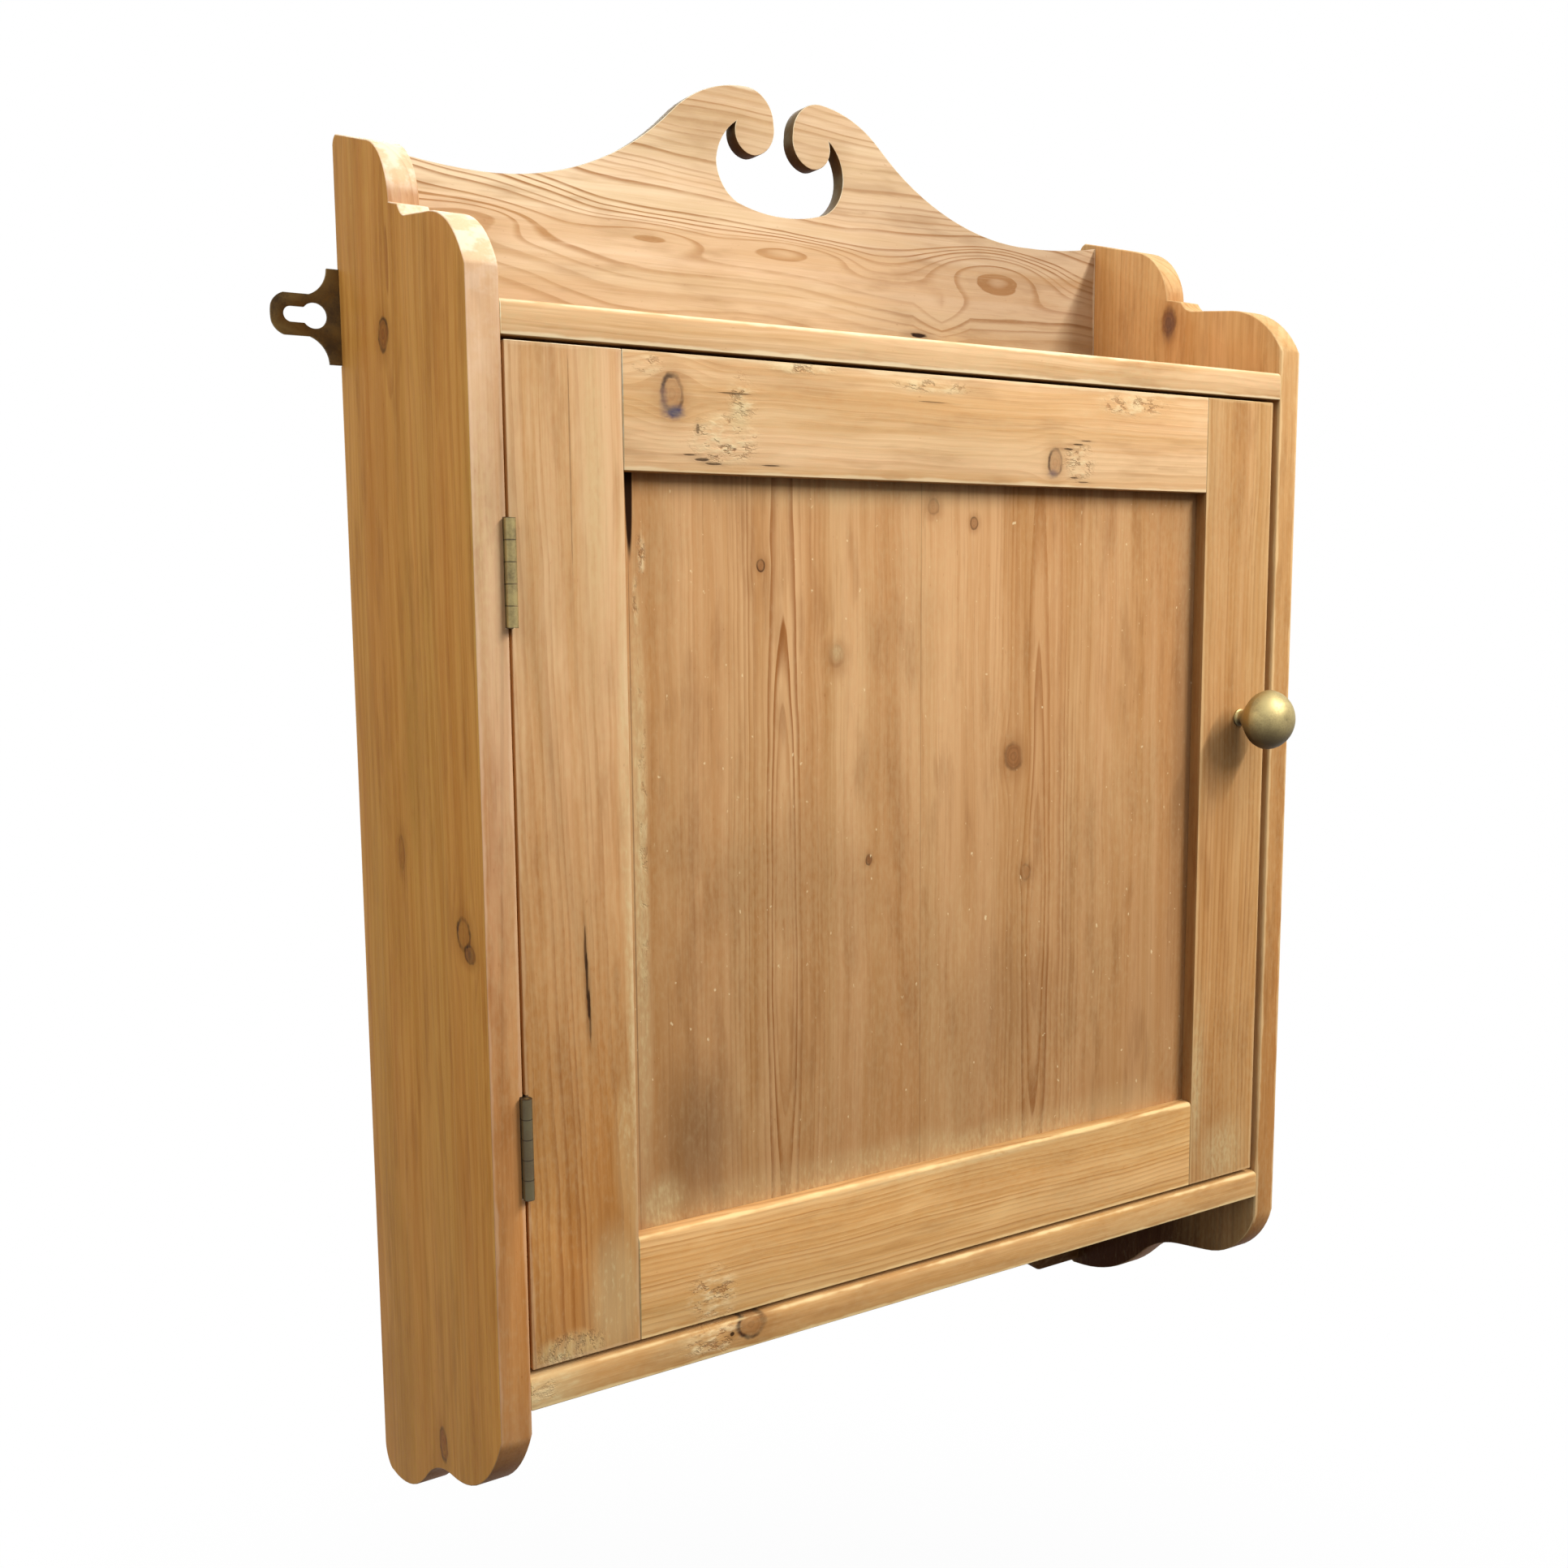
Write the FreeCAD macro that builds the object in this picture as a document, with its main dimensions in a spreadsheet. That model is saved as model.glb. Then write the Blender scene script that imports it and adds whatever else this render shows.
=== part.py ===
"""Wall-hung pine medicine cabinet with a swan-neck gable, ogee sides and one framed door.

Millimetres. Every piece is drawn on the bench: X runs from left to right about the middle of
the cabinet, Y from the front edges of the case back to the wall, Z up from the underside of the
bottom board. locate() then moves it to the finished frame, whose origin lies on the wall midway
between the eyes of the two hanger plates, with +Z up and the front facing -Y.
"""
import FreeCAD, Part
import math
import os
import re

import Sketcher

SIZES = {
    # The case: boards planed from one-inch pine.
    "outer_width": 600,
    "depth": 202,
    "case_height": 582,
    "board": 18,
    "bottom_board": 19,
    "back_board": 10,
    "housing": 6,
    "housing_stop": 15,
    # The shaped ends of the sides, measured from the top board and from the bottom board.
    "side_lip": 14,
    "side_shoulder": 52,
    "side_crest": 120,
    "side_chin": 13,
    "side_drop": 119,
    # The gable between the sides, measured up from the top board. It is sawn freehand from a thin
    # board, so its left and right scrolls differ a little.
    "gable_board": 12,
    "gable_set_in": 6,
    "gable_end": 114,
    "gable_valley": 107.5,
    "valley_from_middle": 215,
    "left_peak": 185,
    "right_peak": 182,
    "scroll_radius": 21.5,
    "scroll_gap": 15,
    "left_cutout": 52,
    "right_cutout": 48,
    "cutout_bottom": 105,
    # The apron below the bottom board.
    "apron_drop": 113,
    "apron_rise": 52,
    "apron_bracket": 50,
    "apron_toe": 8,
    # Two shelves on battens.
    "shelf_board": 15,
    "lower_shelf_height": 209,
    "upper_shelf_height": 404,
    "shelf_front": 40,
    "batten": 15,
    # The door, set in between the sides.
    "door_thick": 22,
    "door_set_back": 1.5,
    "gap_hinge": 2,
    "gap_close": 5,
    "gap_top": 2,
    "gap_bottom": 3,
    "hinge_stile": 65,
    "knob_stile": 62,
    "top_rail": 62,
    "bottom_rail": 60,
    "panel": 7,
    "panel_recess": 9.5,
    "panel_play": 1,
    "groove": 8,
    "tenon": 45,
    "tenon_shoulder": 12,
    "stop": 12,
    "stop_play": 0.4,
    # Two butt hinges.
    "hinge_length": 55,
    "hinge_leaf": 1.5,
    "hinge_width": 18,
    "barrel_radius": 3,
    "barrel_play": 0.3,
    "pin_radius": 1.25,
    "pin_play": 0.05,
    "knuckle_play": 0.15,
    "pin_proud": 2.5,
    "hinge_from_top": 115,
    "hinge_from_bottom": 125,
    # The knob and its screw.
    "knob_height": 349,
    "knob_from_edge": 25,
    "knob_radius": 20,
    "knob_reach": 41,
    "knob_screw": 2.5,
    # The hanger plates.
    "hang_above": 17,
    "hanger_thick": 2,
    "hanger_reach": 40,
    "hanger_base": 55,
    "hanger_shoulder": 7,
    "hanger_tab": 24,
    "eye_from_side": 15,
    "eye_radius": 7.4,
    "slot_width": 9,
    "slot_reach": 33,
    # Countersunk wood screws.
    "screw_radius": 1.6,
    "screw_head": 3.2,
    "screw_length": 14,
    "batten_screw_length": 28,
    # Wire nails that hold the back boards.
    "nail_radius": 1.2,
    "nail_head": 2.6,
    "nail_length": 30,
    # The magnetic catch.
    "catch_width": 46,
    "catch_case": 26,
    "catch_depth": 15,
    "catch_high": 14,
    "catch_flange": 2,
    "catch_gap": 0.3,
    "keeper": 1.2,
    "keeper_drop": 1,
}

BACK_BOARDS = 6
KNUCKLES = 5
# The screws of a hinge leaf: the height of each as a share of the hinge's length from its middle, and
# its place as a share of the hinge's width back from the pin.
LEAF_SCREWS = ((-0.36, 0.55), (0.0, 0.74), (0.36, 0.55))
# How far a cutting block runs past the face that it cuts.
OVERCUT = 1

# Places that several pieces share, written in the sheet's own words.
INNER = "(outer_width/2 - board)"
CASE_BACK = "(depth - back_board)"
DOOR_LEFT = "(-outer_width/2 + board + gap_hinge)"
DOOR_RIGHT = "(outer_width/2 - board - gap_close)"
DOOR_BOTTOM = "(bottom_board + gap_bottom)"
DOOR_TOP = "(case_height - board - gap_top)"
DOOR_BACK = "(door_set_back + door_thick)"
PANEL_FACE = "(door_set_back + panel_recess)"
OPENING_LEFT = f"({DOOR_LEFT} + hinge_stile)"
OPENING_RIGHT = f"({DOOR_RIGHT} - knob_stile)"
OPENING_BOTTOM = f"({DOOR_BOTTOM} + bottom_rail)"
OPENING_TOP = f"({DOOR_TOP} - top_rail)"
HINGE_X = "(-outer_width/2 + board + gap_hinge/2)"
HINGE_Y = "(-pin_proud)"
LEAF_BACK = "(hinge_width - pin_proud)"
KNOB_X = f"({DOOR_RIGHT} - knob_from_edge)"
CATCH_X = f"({DOOR_RIGHT} - knob_stile/2)"
CATCH_FRONT = f"({DOOR_BACK} + keeper + catch_gap)"
TOP_UNDER = "(case_height - board)"
HANGER_INSET = "(board - housing)"
BACK_PITCH = f"((outer_width - 2*board + 2*housing)/{BACK_BOARDS})"
HANG_HEIGHT = "(case_height + hang_above)"
CUTOUT_FOOT = "(case_height + cutout_bottom)"
HINGES = {
    "upper": f"({DOOR_TOP} - hinge_from_top)",
    "lower": f"({DOOR_BOTTOM} + hinge_from_bottom)",
}

doc = FreeCAD.newDocument("MedicineCabinet")
sheet = doc.addObject("Spreadsheet::Sheet", "Sheet")
for row, (alias, number) in enumerate(SIZES.items(), 1):
    sheet.set(f"A{row}", alias)
    sheet.set(f"B{row}", str(number))
    sheet.setAlias(f"B{row}", alias)
doc.recompute()

nodes = []


def formula(words):
    """The same formula with each size written as a cell of the sheet."""
    return re.sub(r"[a-z_]+", lambda found: named(found.group()), str(words))


def named(word):
    return f"Sheet.{word}" if word in SIZES else word


def value(words):
    return float(sheet.evalExpression(formula(words)))


def bind(thing, prop, words):
    thing.setExpression(prop, formula(words))


def locate(thing, x="0", y="0", z="0"):
    """Places a piece drawn on the bench in the finished frame."""
    bind(thing, "Placement.Base.x", x)
    bind(thing, "Placement.Base.y", f"({y}) - depth")
    bind(thing, "Placement.Base.z", f"({z}) - {HANG_HEIGHT}")


def keep(thing, label):
    """Marks a finished piece: its label names its file."""
    thing.Label = label
    nodes.append(thing)
    return thing


# Solids from primitives.

def box(x, y, z, wide, deep, high):
    """A block with its low corner at x, y, z on the bench."""
    thing = doc.addObject("Part::Box", "Block")
    for prop, words in (("Length", wide), ("Width", deep), ("Height", high)):
        bind(thing, prop, words)
    locate(thing, x, y, z)
    return thing


TURNED = {
    "+x": FreeCAD.Rotation(FreeCAD.Vector(0, 1, 0), 90),
    "-x": FreeCAD.Rotation(FreeCAD.Vector(0, 1, 0), -90),
    "+y": FreeCAD.Rotation(FreeCAD.Vector(1, 0, 0), -90),
    "-y": FreeCAD.Rotation(FreeCAD.Vector(1, 0, 0), 90),
    "+z": FreeCAD.Rotation(),
}


def rod(x, y, z, radius, length, way="+z"):
    thing = doc.addObject("Part::Cylinder", "Rod")
    bind(thing, "Radius", radius)
    bind(thing, "Height", length)
    thing.Placement.Rotation = TURNED[way]
    locate(thing, x, y, z)
    return thing


def taper(x, y, z, start, end, length, way):
    thing = doc.addObject("Part::Cone", "Taper")
    bind(thing, "Radius1", start)
    bind(thing, "Radius2", end)
    bind(thing, "Height", length)
    thing.Placement.Rotation = TURNED[way]
    locate(thing, x, y, z)
    return thing


def fuse(things):
    if len(things) == 1:
        return things[0]
    joined = doc.addObject("Part::MultiFuse", "Joined")
    joined.Shapes = things
    return joined


def cut(base, tools):
    rest = doc.addObject("Part::Cut", "Rest")
    rest.Base = base
    rest.Tool = fuse(tools)
    return rest


def group(things):
    loose = doc.addObject("Part::Compound", "Group")
    loose.Links = things
    return loose


# Bodies from sketches.

def new_body(name, x="0"):
    body = doc.addObject("PartDesign::Body", name)
    locate(body, x)
    return body


def sketch_on(body, plane, offset=None):
    sketch = body.newObject("Sketcher::SketchObject", "Outline")
    support = next(item for item in body.Origin.OriginFeatures if item.Role == plane)
    sketch.AttachmentSupport = (support, [""])
    sketch.MapMode = "FlatFace"
    if offset is not None:
        bind(sketch, "AttachmentOffset.Base.z", offset)
    return sketch


def arc_between(start, end, turn):
    """The arc from start to end that turns by turn degrees, left when positive."""
    chord = end - start
    half = math.radians(turn) / 2
    radius = chord.Length / (2 * math.sin(abs(half)))
    left = FreeCAD.Vector(-chord.y, chord.x, 0) / chord.Length
    centre = (start + end) / 2 + left * (math.copysign(radius, turn) * math.cos(half))
    first, last = (start, end) if turn > 0 else (end, start)
    angles = [math.atan2(spot.y - centre.y, spot.x - centre.x) for spot in (first, last)]
    circle = Part.Circle(centre, FreeCAD.Vector(0, 0, 1), radius)
    return Part.ArcOfCircle(circle, angles[0], angles[1])


def fix(sketch, kind, where, words):
    """A dimension of the sketch, bound to the sheet."""
    index = sketch.addConstraint(Sketcher.Constraint(kind, *where, value(words)))
    bind(sketch, f"Constraints[{index}]", words)


def draw(sketch, points):
    """A closed outline. A point is its two places and the turn of the arc to the next point."""
    spots = [FreeCAD.Vector(value(point[0]), value(point[1]), 0) for point in points]
    ends = []
    for start, end, (across, up, turn) in zip(spots, following(spots), points):
        edge = arc_between(start, end, turn) if turn else Part.LineSegment(start, end)
        number = sketch.addGeometry(edge, False)
        ends.append((number, 2, 1) if turn < 0 else (number, 1, 2))
    for (edge, first, last), joined in zip(ends, following(ends)):
        sketch.addConstraint(Sketcher.Constraint("Coincident", edge, last, *joined[:2]))
    for (edge, first, last), (across, up, turn), there in zip(ends, points, following(points)):
        fix(sketch, "DistanceX", (-1, 1, edge, first), across)
        fix(sketch, "DistanceY", (-1, 1, edge, first), up)
        if turn:
            chord = f"sqrt((({there[0]}) - ({across}))^2 + (({there[1]}) - ({up}))^2)"
            fix(sketch, "Radius", (edge,), f"{chord}/(2*sin({abs(turn) / 2}))")
    return sketch


def following(items):
    """The item after each one, round a closed outline."""
    return items[1:] + items[:1]


def rectangle(low_across, low_up, high_across, high_up):
    return [
        (low_across, low_up, 0),
        (high_across, low_up, 0),
        (high_across, high_up, 0),
        (low_across, high_up, 0),
    ]


def pad(body, sketch, length, back_to_front=False):
    feature = body.newObject("PartDesign::Pad", "Pad")
    feature.Profile = sketch
    bind(feature, "Length", length)
    feature.Reversed = back_to_front
    body.Tip = feature
    return feature


def pocket(body, sketch, length, reverse=False):
    feature = body.newObject("PartDesign::Pocket", "Pocket")
    feature.Profile = sketch
    bind(feature, "Length", length)
    feature.Reversed = reverse
    body.Tip = feature
    return feature


def both_halves(right, left):
    """An outline: its right half, drawn from the side in, then its left half, mirrored and run back."""
    spots = [(f"-({across})", up) for across, up, turn in reversed(left)]
    turns = [turn for across, up, turn in reversed(left[:-1])] + [0]
    return right + [spot + (turn,) for spot, turn in zip(spots, turns)]


# Screws, each a countersunk head on a plain shank with a slot across the head.

def screw(x, y, z, way, length="screw_length"):
    """The solid of one screw. Its head is flush at x, y, z and its shank runs the given way."""
    sink = "(screw_head - screw_radius)"
    head = taper(x, y, z, "screw_head", "screw_radius", sink, way)
    shank = rod(x, y, z, "screw_radius", length, way)
    return fuse([head, shank])


def nail(x, z):
    """A wire nail driven forward from the back, with its head flush."""
    head = rod(x, "depth", z, "nail_head", "nail_radius", "-y")
    shank = rod(x, "depth", z, "nail_radius", "nail_length", "-y")
    return fuse([head, shank])


def slotted(solid, x, y, z, way):
    """The screw with the slot for a driver."""
    wide = "2.2*screw_head"
    narrow = "0.3*screw_head"
    low = {"x": ("-0.2*screw_head", f"-{narrow}/2", f"-{wide}/2")}
    low["y"] = (f"-{narrow}/2", "-0.2*screw_head", f"-{wide}/2")
    low["z"] = (f"-{wide}/2", f"-{narrow}/2", "-0.2*screw_head")
    spans = {"x": ("0.4*screw_head", narrow, wide)}
    spans["y"] = (narrow, "0.4*screw_head", wide)
    spans["z"] = (wide, narrow, "0.4*screw_head")
    corner = [f"({at}) + ({step})" for at, step in zip((x, y, z), low[way[1]])]
    return cut(solid, [box(*corner, *spans[way[1]])])


def hinge_screw_places():
    """Where the screws of each leaf go: the height of each, and how far back."""
    for centre in HINGES.values():
        for up, back in LEAF_SCREWS:
            yield f"({centre} + {up}*hinge_length)", f"({back}*hinge_width - pin_proud)"


FRAME_LEAF_FACE = "(-outer_width/2 + board)"
frame_screws = [(FRAME_LEAF_FACE, deep, high) for high, deep in hinge_screw_places()]
door_screws = [(DOOR_LEFT, deep, high) for high, deep in hinge_screw_places()]
frame_screw_solids = [screw(*spot, "-x") for spot in frame_screws]
door_screw_solids = [screw(*spot, "+x") for spot in door_screws]


def hanger_screw_places(side):
    across = f"({side}*(outer_width/2 - {HANGER_INSET}/2))"
    return [(across, "depth", f"({HANG_HEIGHT} + {step}*0.34*hanger_base)") for step in (-1, 1)]


hanger_screws = hanger_screw_places(-1) + hanger_screw_places(1)
hanger_screw_solids = [screw(*spot, "-y") for spot in hanger_screws]

CATCH_SCREW_STEP = "((catch_width + catch_case)/4)"
catch_screws = []
for step in (-1, 1):
    spot = (f"({CATCH_X} + {step}*{CATCH_SCREW_STEP})", f"({CATCH_FRONT} + catch_depth/2)")
    catch_screws.append(spot + (f"({TOP_UNDER} - catch_flange)",))
catch_screw_solids = [screw(*spot, "+z") for spot in catch_screws]

batten_screws = {}
for name in ("lower", "upper"):
    for hand, sign in (("left", -1), ("right", 1)):
        face = f"({sign}*({INNER} - batten))"
        high = f"({name}_shelf_height - batten/2)"
        reach = f"({CASE_BACK} - shelf_front - batten)"
        deeps = [f"(shelf_front + batten + {share}*{reach})" for share in (0.2, 0.8)]
        batten_screws[name, hand] = [(face, deep, high) for deep in deeps]
batten_screw_solids = {}
for (name, hand), spots in batten_screws.items():
    way = "-x" if hand == "left" else "+x"
    solids = [screw(*spot, way, "batten_screw_length") for spot in spots]
    batten_screw_solids[name, hand] = solids


def on_hand(hand):
    return batten_screw_solids["lower", hand] + batten_screw_solids["upper", hand]


def back_board_middle(index):
    return f"({index + 0.5 - BACK_BOARDS / 2}*{BACK_PITCH})"


upper_nails = [nail(back_board_middle(index), f"({TOP_UNDER} + board/2)")
               for index in range(BACK_BOARDS)]
lower_nails = [nail(back_board_middle(index), "(bottom_board/2)")
               for index in range(BACK_BOARDS)]

knob_shank = rod(KNOB_X, "door_set_back - 0.4*knob_reach", "knob_height",
                 "knob_screw", "0.4*knob_reach + door_thick", "+y")

KEEPER_MIDDLE = f"({TOP_UNDER} - catch_high/2 - keeper_drop)"
keeper_screws = [(f"({CATCH_X})", f"({DOOR_BACK} + keeper)", KEEPER_MIDDLE)]
keeper_screw_solids = [screw(*spot, "-y") for spot in keeper_screws]


# The case.

# The sides share their front edge, head and heel. The lobes below are sawn freehand, and the dip
# between them is shallower on the left.
SIDE_OUTLINE = [
    ("0", "-side_chin", 0),
    ("0", "case_height + side_lip", -57),
    ("0.23*depth", "case_height + 0.92*side_shoulder", 0),
    ("0.415*depth", "case_height + 1.02*side_shoulder", 50),
    ("0.465*depth", "case_height + 1.17*side_shoulder", 0),
    ("0.535*depth", "case_height + 1.24*side_shoulder", -70),
    ("0.69*depth", "case_height + 0.865*side_crest", 0),
    ("0.97*depth", "case_height + side_crest", -60),
    ("depth", "case_height + 0.96*side_crest", 0),
    ("depth", "-0.89*side_drop", -70),
    ("0.945*depth", "-side_drop", 0),
]
SIDE_LOBES = {
    "left": [
        ("0.885*depth", "-0.995*side_drop", -40),
        ("0.6*depth", "-0.75*side_drop", 36),
        ("0.385*depth", "-0.582*side_drop", -58),
    ],
    "right": [
        ("0.885*depth", "-0.985*side_drop", -37),
        ("0.565*depth", "-0.705*side_drop", 37),
        ("0.375*depth", "-0.525*side_drop", 0),
        ("0.23*depth", "-0.48*side_drop", -67),
    ],
}


def side(label, hand):
    """A side board. Its inner face is at x 0 of its body and hand says which way it lies."""
    left = hand < 0
    hand_name = "left" if left else "right"
    body = new_body(f"{label}_board", f"{hand}*{INNER}")
    pad(body, draw(sketch_on(body, "YZ_Plane"), SIDE_OUTLINE + SIDE_LOBES[hand_name]), "board", left)
    housings = (("0", "bottom_board"), (TOP_UNDER, "case_height"))
    for low, high in housings:
        outline = rectangle("housing_stop", low, CASE_BACK, high)
        pocket(body, draw(sketch_on(body, "YZ_Plane"), outline), "housing", not left)
    rebate = rectangle(CASE_BACK, "0", f"depth + {OVERCUT}", "case_height")
    pocket(body, draw(sketch_on(body, "YZ_Plane"), rebate), "housing", not left)
    tools = [hanger_recess(hand)] + on_hand(hand_name)
    tools += hanger_screw_solids[:2] if left else hanger_screw_solids[2:]
    if left:
        for centre in HINGES.values():
            low = f"({centre} - hinge_length/2)"
            recess = box(f"{FRAME_LEAF_FACE} - hinge_leaf", f"-{OVERCUT}", low,
                         f"hinge_leaf + {OVERCUT}", f"{LEAF_BACK} + {OVERCUT}", "hinge_length")
            tools.append(recess)
        tools += frame_screw_solids
    keep(cut(body, tools), label)


def hanger_recess(hand):
    low = "-outer_width/2" if hand < 0 else f"outer_width/2 - {HANGER_INSET}"
    return box(low, "depth - hanger_thick", f"{HANG_HEIGHT} - hanger_base/2",
               HANGER_INSET, "hanger_thick", "hanger_base")


def case_board(label, low, thick, tools):
    """A board housed in both sides, with its front corners notched round the stopped housings."""
    body = new_body(f"{label}_plank")
    sketch = sketch_on(body, "XY_Plane", low)
    reach = f"({INNER} + housing)"
    outline = [
        (f"-{INNER}", "0", 0),
        (INNER, "0", 0),
        (INNER, "housing_stop", 0),
        (reach, "housing_stop", 0),
        (reach, CASE_BACK, 0),
        (f"-{reach}", CASE_BACK, 0),
        (f"-{reach}", "housing_stop", 0),
        (f"-{INNER}", "housing_stop", 0),
    ]
    pad(body, draw(sketch, outline), thick)
    keep(cut(body, tools), label)


def gable_half(peak, cutout, neck, neck_turn):
    """Half of the gable, from its end at the side in to the foot of the round cut-out."""
    middle = "(scroll_radius + scroll_gap/2)"
    fall = f"(valley_from_middle - {middle})"
    valley = "(case_height + gable_valley)"
    top = f"(case_height + {peak})"
    eye = f"({top} - scroll_radius)"
    return [
        (INNER, "case_height", 0),
        (INNER, "case_height + gable_end", -11),
        ("valley_from_middle", valley, -45),
        (f"{middle} + {neck}*{fall}", f"{top} - 0.3*({top} - {valley})", neck_turn),
        (middle, top, 90),
        ("scroll_gap/2", eye, 92),
        (f"{middle} - 0.3*scroll_radius", f"{top} - 2*scroll_radius", 115),
        (f"{middle} + 0.35*scroll_radius", f"{eye} - 0.07*scroll_radius", -50),
        (cutout, f"{CUTOUT_FOOT} + 0.54*({eye} - {CUTOUT_FOOT})", -62),
        (f"0.7*{cutout}", f"{CUTOUT_FOOT} + 0.1*({eye} - {CUTOUT_FOOT})", -20),
    ]


def gable():
    """The swan-neck board above the top: two scrolls that face each other over a round cut-out."""
    right = gable_half("right_peak", "right_cutout", 0.27, 40) + [("0", CUTOUT_FOOT, -20)]
    left = gable_half("left_peak", "left_cutout", 0.3, 45)
    body = new_body("gable_plank")
    sketch = sketch_on(body, "XZ_Plane", "gable_set_in - depth")
    pad(body, draw(sketch, both_halves(right, left)), "gable_board")
    keep(body, "gable_board")


def apron():
    """The board that closes the back below the bottom board: a bracket at each end, a raised middle."""
    bracket_end = f"({INNER} - apron_bracket)"
    foot = "(-apron_drop)"
    half = [
        (INNER, "0", 0),
        (INNER, foot, 0),
        (f"{bracket_end} + apron_toe", foot, -80),
        (bracket_end, f"{foot} + apron_toe", 90),
        (f"{bracket_end} - 0.8*apron_bracket", f"{foot} + apron_rise", 0),
    ]
    body = new_body("apron_plank")
    pad(body, draw(sketch_on(body, "XZ_Plane", "-depth"), both_halves(half, half)), "board")
    keep(body, "apron_board")


def back_boards():
    """Upright matchboards in the rebates of the sides, each with a tongue to its left."""
    front = CASE_BACK
    tongue = "0.34*back_board"
    ease = "0.15*back_board"
    for index in range(BACK_BOARDS):
        low = f"({index - BACK_BOARDS / 2}*{BACK_PITCH})"
        high = f"({index + 1 - BACK_BOARDS / 2}*{BACK_PITCH})"
        near = f"({front} + 0.33*back_board)"
        far = f"({near} + {tongue})"
        points = [(f"{low} + {ease}", front, 0), (f"{high} - {ease}", front, 0)]
        points.append((high, f"{front} + {ease}", 0))
        if index < BACK_BOARDS - 1:
            points += [(high, near, 0), (f"{high} - 0.55*back_board", near, 0)]
            points += [(f"{high} - 0.55*back_board", far, 0), (high, far, 0)]
        points += [(high, "depth", 0), (low, "depth", 0)]
        if index > 0:
            points += [(low, far, 0), (f"{low} - 0.5*back_board", far, 0)]
            points += [(f"{low} - 0.5*back_board", near, 0), (low, near, 0)]
        points.append((low, f"{front} + {ease}", 0))
        body = new_body(f"matchboard_{index + 1}")
        pad(body, draw(sketch_on(body, "XY_Plane"), points), "case_height")
        keep(cut(body, [lower_nails[index], upper_nails[index]]), f"back_board_{index + 1}")


def shelves():
    for name in ("lower", "upper"):
        height = f"{name}_shelf_height"
        deep = f"{CASE_BACK} - shelf_front"
        plank = box(f"-{INNER}", "shelf_front", height, f"2*{INNER}", deep, "shelf_board")
        keep(plank, f"{name}_shelf")
        for hand in ("left", "right"):
            low = f"-{INNER}" if hand == "left" else f"{INNER} - batten"
            strip = box(low, "shelf_front + batten", f"{height} - batten",
                        "batten", f"{deep} - batten", "batten")
            keep(cut(strip, batten_screw_solids[name, hand]), f"{name}_batten_{hand}")


def door_stop():
    strip = box(f"{INNER} - stop", f"{DOOR_BACK} + stop_play", f"{DOOR_BOTTOM} + knob_stile",
                "stop", "stop", f"{DOOR_TOP} - {DOOR_BOTTOM} - 2*knob_stile")
    keep(strip, "door_stop")


# The door.

def hinge_recess_in_door():
    recesses = []
    for centre in HINGES.values():
        low = f"({centre} - hinge_length/2)"
        deep = f"{LEAF_BACK} - door_set_back + {OVERCUT}"
        recesses.append(box(f"{DOOR_LEFT} - {OVERCUT}", f"door_set_back - {OVERCUT}", low,
                            f"hinge_leaf + {OVERCUT}", deep, "hinge_length"))
    return recesses


def stile(label, low, inner_low, tools):
    """An upright of the door, grooved for the panel and mortised for both rails. Its width has its name."""
    tall = f"{DOOR_TOP} - {DOOR_BOTTOM}"
    plank = box(low, "door_set_back", DOOR_BOTTOM, label, "door_thick", tall)
    groove_low = f"{OPENING_BOTTOM} - groove"
    groove_tall = f"{OPENING_TOP} - {OPENING_BOTTOM} + 2*groove"
    groove_x = f"{inner_low} - groove" if inner_low == OPENING_LEFT else inner_low
    mortise_x = f"{inner_low} - tenon" if inner_low == OPENING_LEFT else inner_low
    hollows = [box(groove_x, PANEL_FACE, groove_low, "groove", "panel", groove_tall)]
    for bottom, top in tenon_heights():
        hollows.append(box(mortise_x, PANEL_FACE, bottom, "tenon", "panel", f"{top} - {bottom}"))
    keep(cut(plank, hollows + tools), label)


def tenon_heights():
    lower = (f"({DOOR_BOTTOM} + tenon_shoulder)", f"({OPENING_BOTTOM} - groove)")
    upper = (f"({OPENING_TOP} + groove)", f"({DOOR_TOP} - tenon_shoulder)")
    return lower, upper


def rail(label, low, high, tenon_span, groove_low):
    """A cross piece of the door with a tenon at each end and a groove for the panel."""
    wide = f"{OPENING_RIGHT} - {OPENING_LEFT}"
    plank = box(OPENING_LEFT, "door_set_back", low, wide, "door_thick", f"{high} - {low}")
    bottom, top = tenon_span
    tongue = box(f"{OPENING_LEFT} - tenon", PANEL_FACE, bottom,
                 f"{wide} + 2*tenon", "panel", f"{top} - {bottom}")
    hollow = box(OPENING_LEFT, PANEL_FACE, groove_low, wide, "panel", "groove")
    keep(fuse([cut(plank, [hollow]), tongue]), label)


def door_panel():
    tuck = "(groove - panel_play)"
    panel = box(f"{OPENING_LEFT} - {tuck}", PANEL_FACE, f"{OPENING_BOTTOM} - {tuck}",
                f"{OPENING_RIGHT} - {OPENING_LEFT} + 2*{tuck}", "panel",
                f"{OPENING_TOP} - {OPENING_BOTTOM} + 2*{tuck}")
    keep(panel, "door_panel")


# The hinges.

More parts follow.
